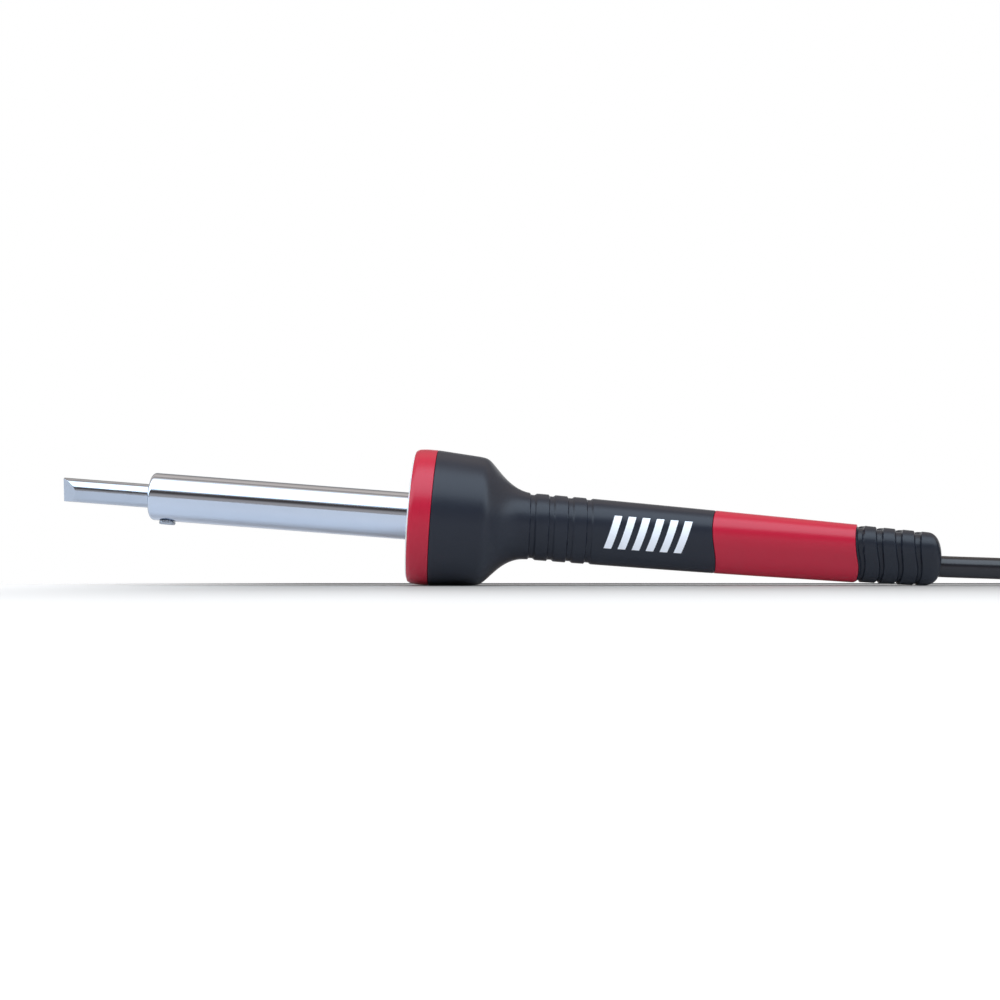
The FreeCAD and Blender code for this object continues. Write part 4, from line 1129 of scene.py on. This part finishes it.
def fill_ramp(ramp, stops):
    """Set a colour ramp to (position, colour) stops."""
    elements = ramp.color_ramp.elements
    while len(elements) < len(stops):
        elements.new(0.5)
    for element, (position, colour) in zip(elements, stops):
        element.position = position
        element.color = (*colour, 1.0)


def paint_bench_shade(material):
    """Painted shadow and reflection, grey towards the far edge: colour = white * (1 - share(x) * (1 - grey(y))).
    """
    tree = material.node_tree
    axes = object_axes(tree)
    share = remapped(tree, "SMOOTHSTEP", (*PAINTED_SHADE_ALONG, LEAST_PAINTED_SHADE, 1.0), axes[0])
    near, far = BENCH_PAINTED_SHADE_GREYS[0][0], BENCH_PAINTED_SHADE_GREYS[-1][0]
    ramp = tree.nodes.new("ShaderNodeValToRGB")
    tree.links.new(remapped(tree, "LINEAR", (near, far, 0.0, 1.0), axes[1]), ramp.inputs[0])
    fill_ramp(ramp, [((place - near) / (far - near), (grey,) * 3) for place, grey in BENCH_PAINTED_SHADE_GREYS])
    base = tree.nodes["Principled BSDF"].inputs["Base Color"]
    tree.links.new(mix_colour(tree, share, base.links[0].from_socket, ramp.outputs[0], "MULTIPLY"), base)


def flat_sheet(name, height, material):
    """Rectangle at one height, from the bench's low corner to its high one."""
    (x0, y0), (x1, y1) = BENCH_LOW, BENCH_HIGH
    corners = [(x0, y0, height), (x1, y0, height), (x1, y1, height), (x0, y1, height)]
    piece = link_mesh(name, corners, [(0, 1, 2, 3)])
    dress(piece, material)
    return piece


BENCH_WHITE_PAINTED_SHADE = finish("bench_white_painted_shade", (0.82, 0.765, 0.72), 0.60, mottle=0.01, drift=0.02, bump=0.0,
                     Specular_IOR_Level=0.25)
BENCH_BOUNCE = finish("bench_bounce", (0.58, 0.56, 0.56), 0.60, mottle=0.01, bump=0.0,
                      Specular_IOR_Level=0.25)
paint_bench_shade(BENCH_WHITE_PAINTED_SHADE)
# Only the camera sees this sheet and the painted shade on it.
bench_seen = flat_sheet("bench_seen", 0.0, BENCH_WHITE_PAINTED_SHADE)
for ray in ("diffuse", "glossy", "transmission", "shadow"):
    setattr(bench_seen, f"visible_{ray}", False)
bench_bounce = flat_sheet("bench_bounce", BOUNCE_HEIGHT, BENCH_BOUNCE)
bench_bounce.visible_camera = False
print("bench from", BENCH_LOW, "to", BENCH_HIGH)

# %% [markdown]
# ## The line behind the iron
# A low strip closes the bench at its far edge. Its darkness is painted shade under the iron, and on the
# left it glows to white, a painted light, so that the line dies away there.

# %% Dark strip of painted shade, with a painted glow
def painted_shade_and_glow_finish():
    """Dark finish of painted shade whose painted glow rises towards its left end: glow = 0.93 * (1 - smooth step
    of x).
    """
    material = finish("strip_painted_shade_and_glow", (0.03, 0.03, 0.032), 0.6, bump=0.0)
    tree = material.node_tree
    shader = tree.nodes["Principled BSDF"]
    # Painted light: the strip glows though it is no lamp.
    shader.inputs["Emission Strength"].default_value = 1.0
    glow = remapped(tree, "SMOOTHSTEP", (*PAINTED_SHADE_ALONG, PAINTED_STRIP_GLOW, 0.0), object_axes(tree)[0])
    tree.links.new(glow, shader.inputs["Emission Color"])
    return material


def painted_shade_strip(low, high):
    """Low box of painted shade from one corner to the other."""
    corners = [(x, y, z) for x in (low[0], high[0]) for y in (low[1], high[1]) for z in (low[2], high[2])]
    faces = [(0, 1, 3, 2), (4, 6, 7, 5), (0, 4, 5, 1), (2, 3, 7, 6), (0, 2, 6, 4), (1, 5, 7, 3)]
    piece = link_mesh("painted_shade_strip", corners, faces)
    dress(piece, painted_shade_and_glow_finish())
    tell(piece)


painted_shade_strip(STRIP_LOW, STRIP_HIGH)

# %% [markdown]
# ## The light
# The light is a studio tent, and it is all in the sky: a bright strip above and in front, a warmer, dimmer
# top behind it, and a dark gap below the strip, which together draw the long bands on the barrel. A band
# is an angle round the X axis, from level in front at 0 over the top to level behind at 180 degrees, and
# its brightness. The camera itself sees plain white.

# %% Sky
world = bpy.data.worlds.new("studio")
bpy.context.scene.world = world
world.use_nodes = True
sky = world.node_tree
background = sky.nodes["Background"]
direction = sky.nodes.new("ShaderNodeNewGeometry").outputs["Incoming"]
parts = sky.nodes.new("ShaderNodeSeparateXYZ")
sky.links.new(direction, parts.inputs[0])
up_part = math_node(sky, "MULTIPLY", parts.outputs[2], -1.0)
climb = math_node(sky, "ARCTAN2", up_part, parts.outputs[1])
share = math_node(sky, "ADD", math_node(sky, "DIVIDE", climb, 2 * math.pi), 0.5)
ramp = sky.nodes.new("ShaderNodeValToRGB")
sky.links.new(share, ramp.inputs[0])
STRIP_LIGHT, GAP = (2.6, 3.0, 3.4), (0.075, 0.06, 0.055)
SKY_BANDS = [
    (-180, (0.5, 0.5, 0.5)), (0, (0.46, 0.42, 0.40)), (10, (0.42, 0.38, 0.36)), (15, (0.22, 0.20, 0.19)),
    (19, GAP), (27, GAP), (32, (0.5, 0.5, 0.5)), (38, STRIP_LIGHT), (84, STRIP_LIGHT),
    (92, (1.3, 1.25, 1.2)), (101, (0.55, 0.48, 0.42)), (108, (0.40, 0.34, 0.30)),
    (116, (0.85, 0.72, 0.62)), (134, (0.62, 0.54, 0.47)), (146, (0.30, 0.27, 0.25)),
    (156, (0.25, 0.25, 0.25)), (163, (1.0, 1.0, 1.0)), (180, (1.0, 1.0, 1.0))]
fill_ramp(ramp, [(degrees / 360 + 0.5, colour) for degrees, colour in SKY_BANDS])
seen = sky.nodes.new("ShaderNodeLightPath").outputs["Is Camera Ray"]
sky.links.new(mix_colour(sky, seen, ramp.outputs[0], (1.0, 1.0, 1.0, 1.0)), background.inputs["Color"])
background.inputs["Strength"].default_value = 1.0
print("sky bands", len(SKY_BANDS))
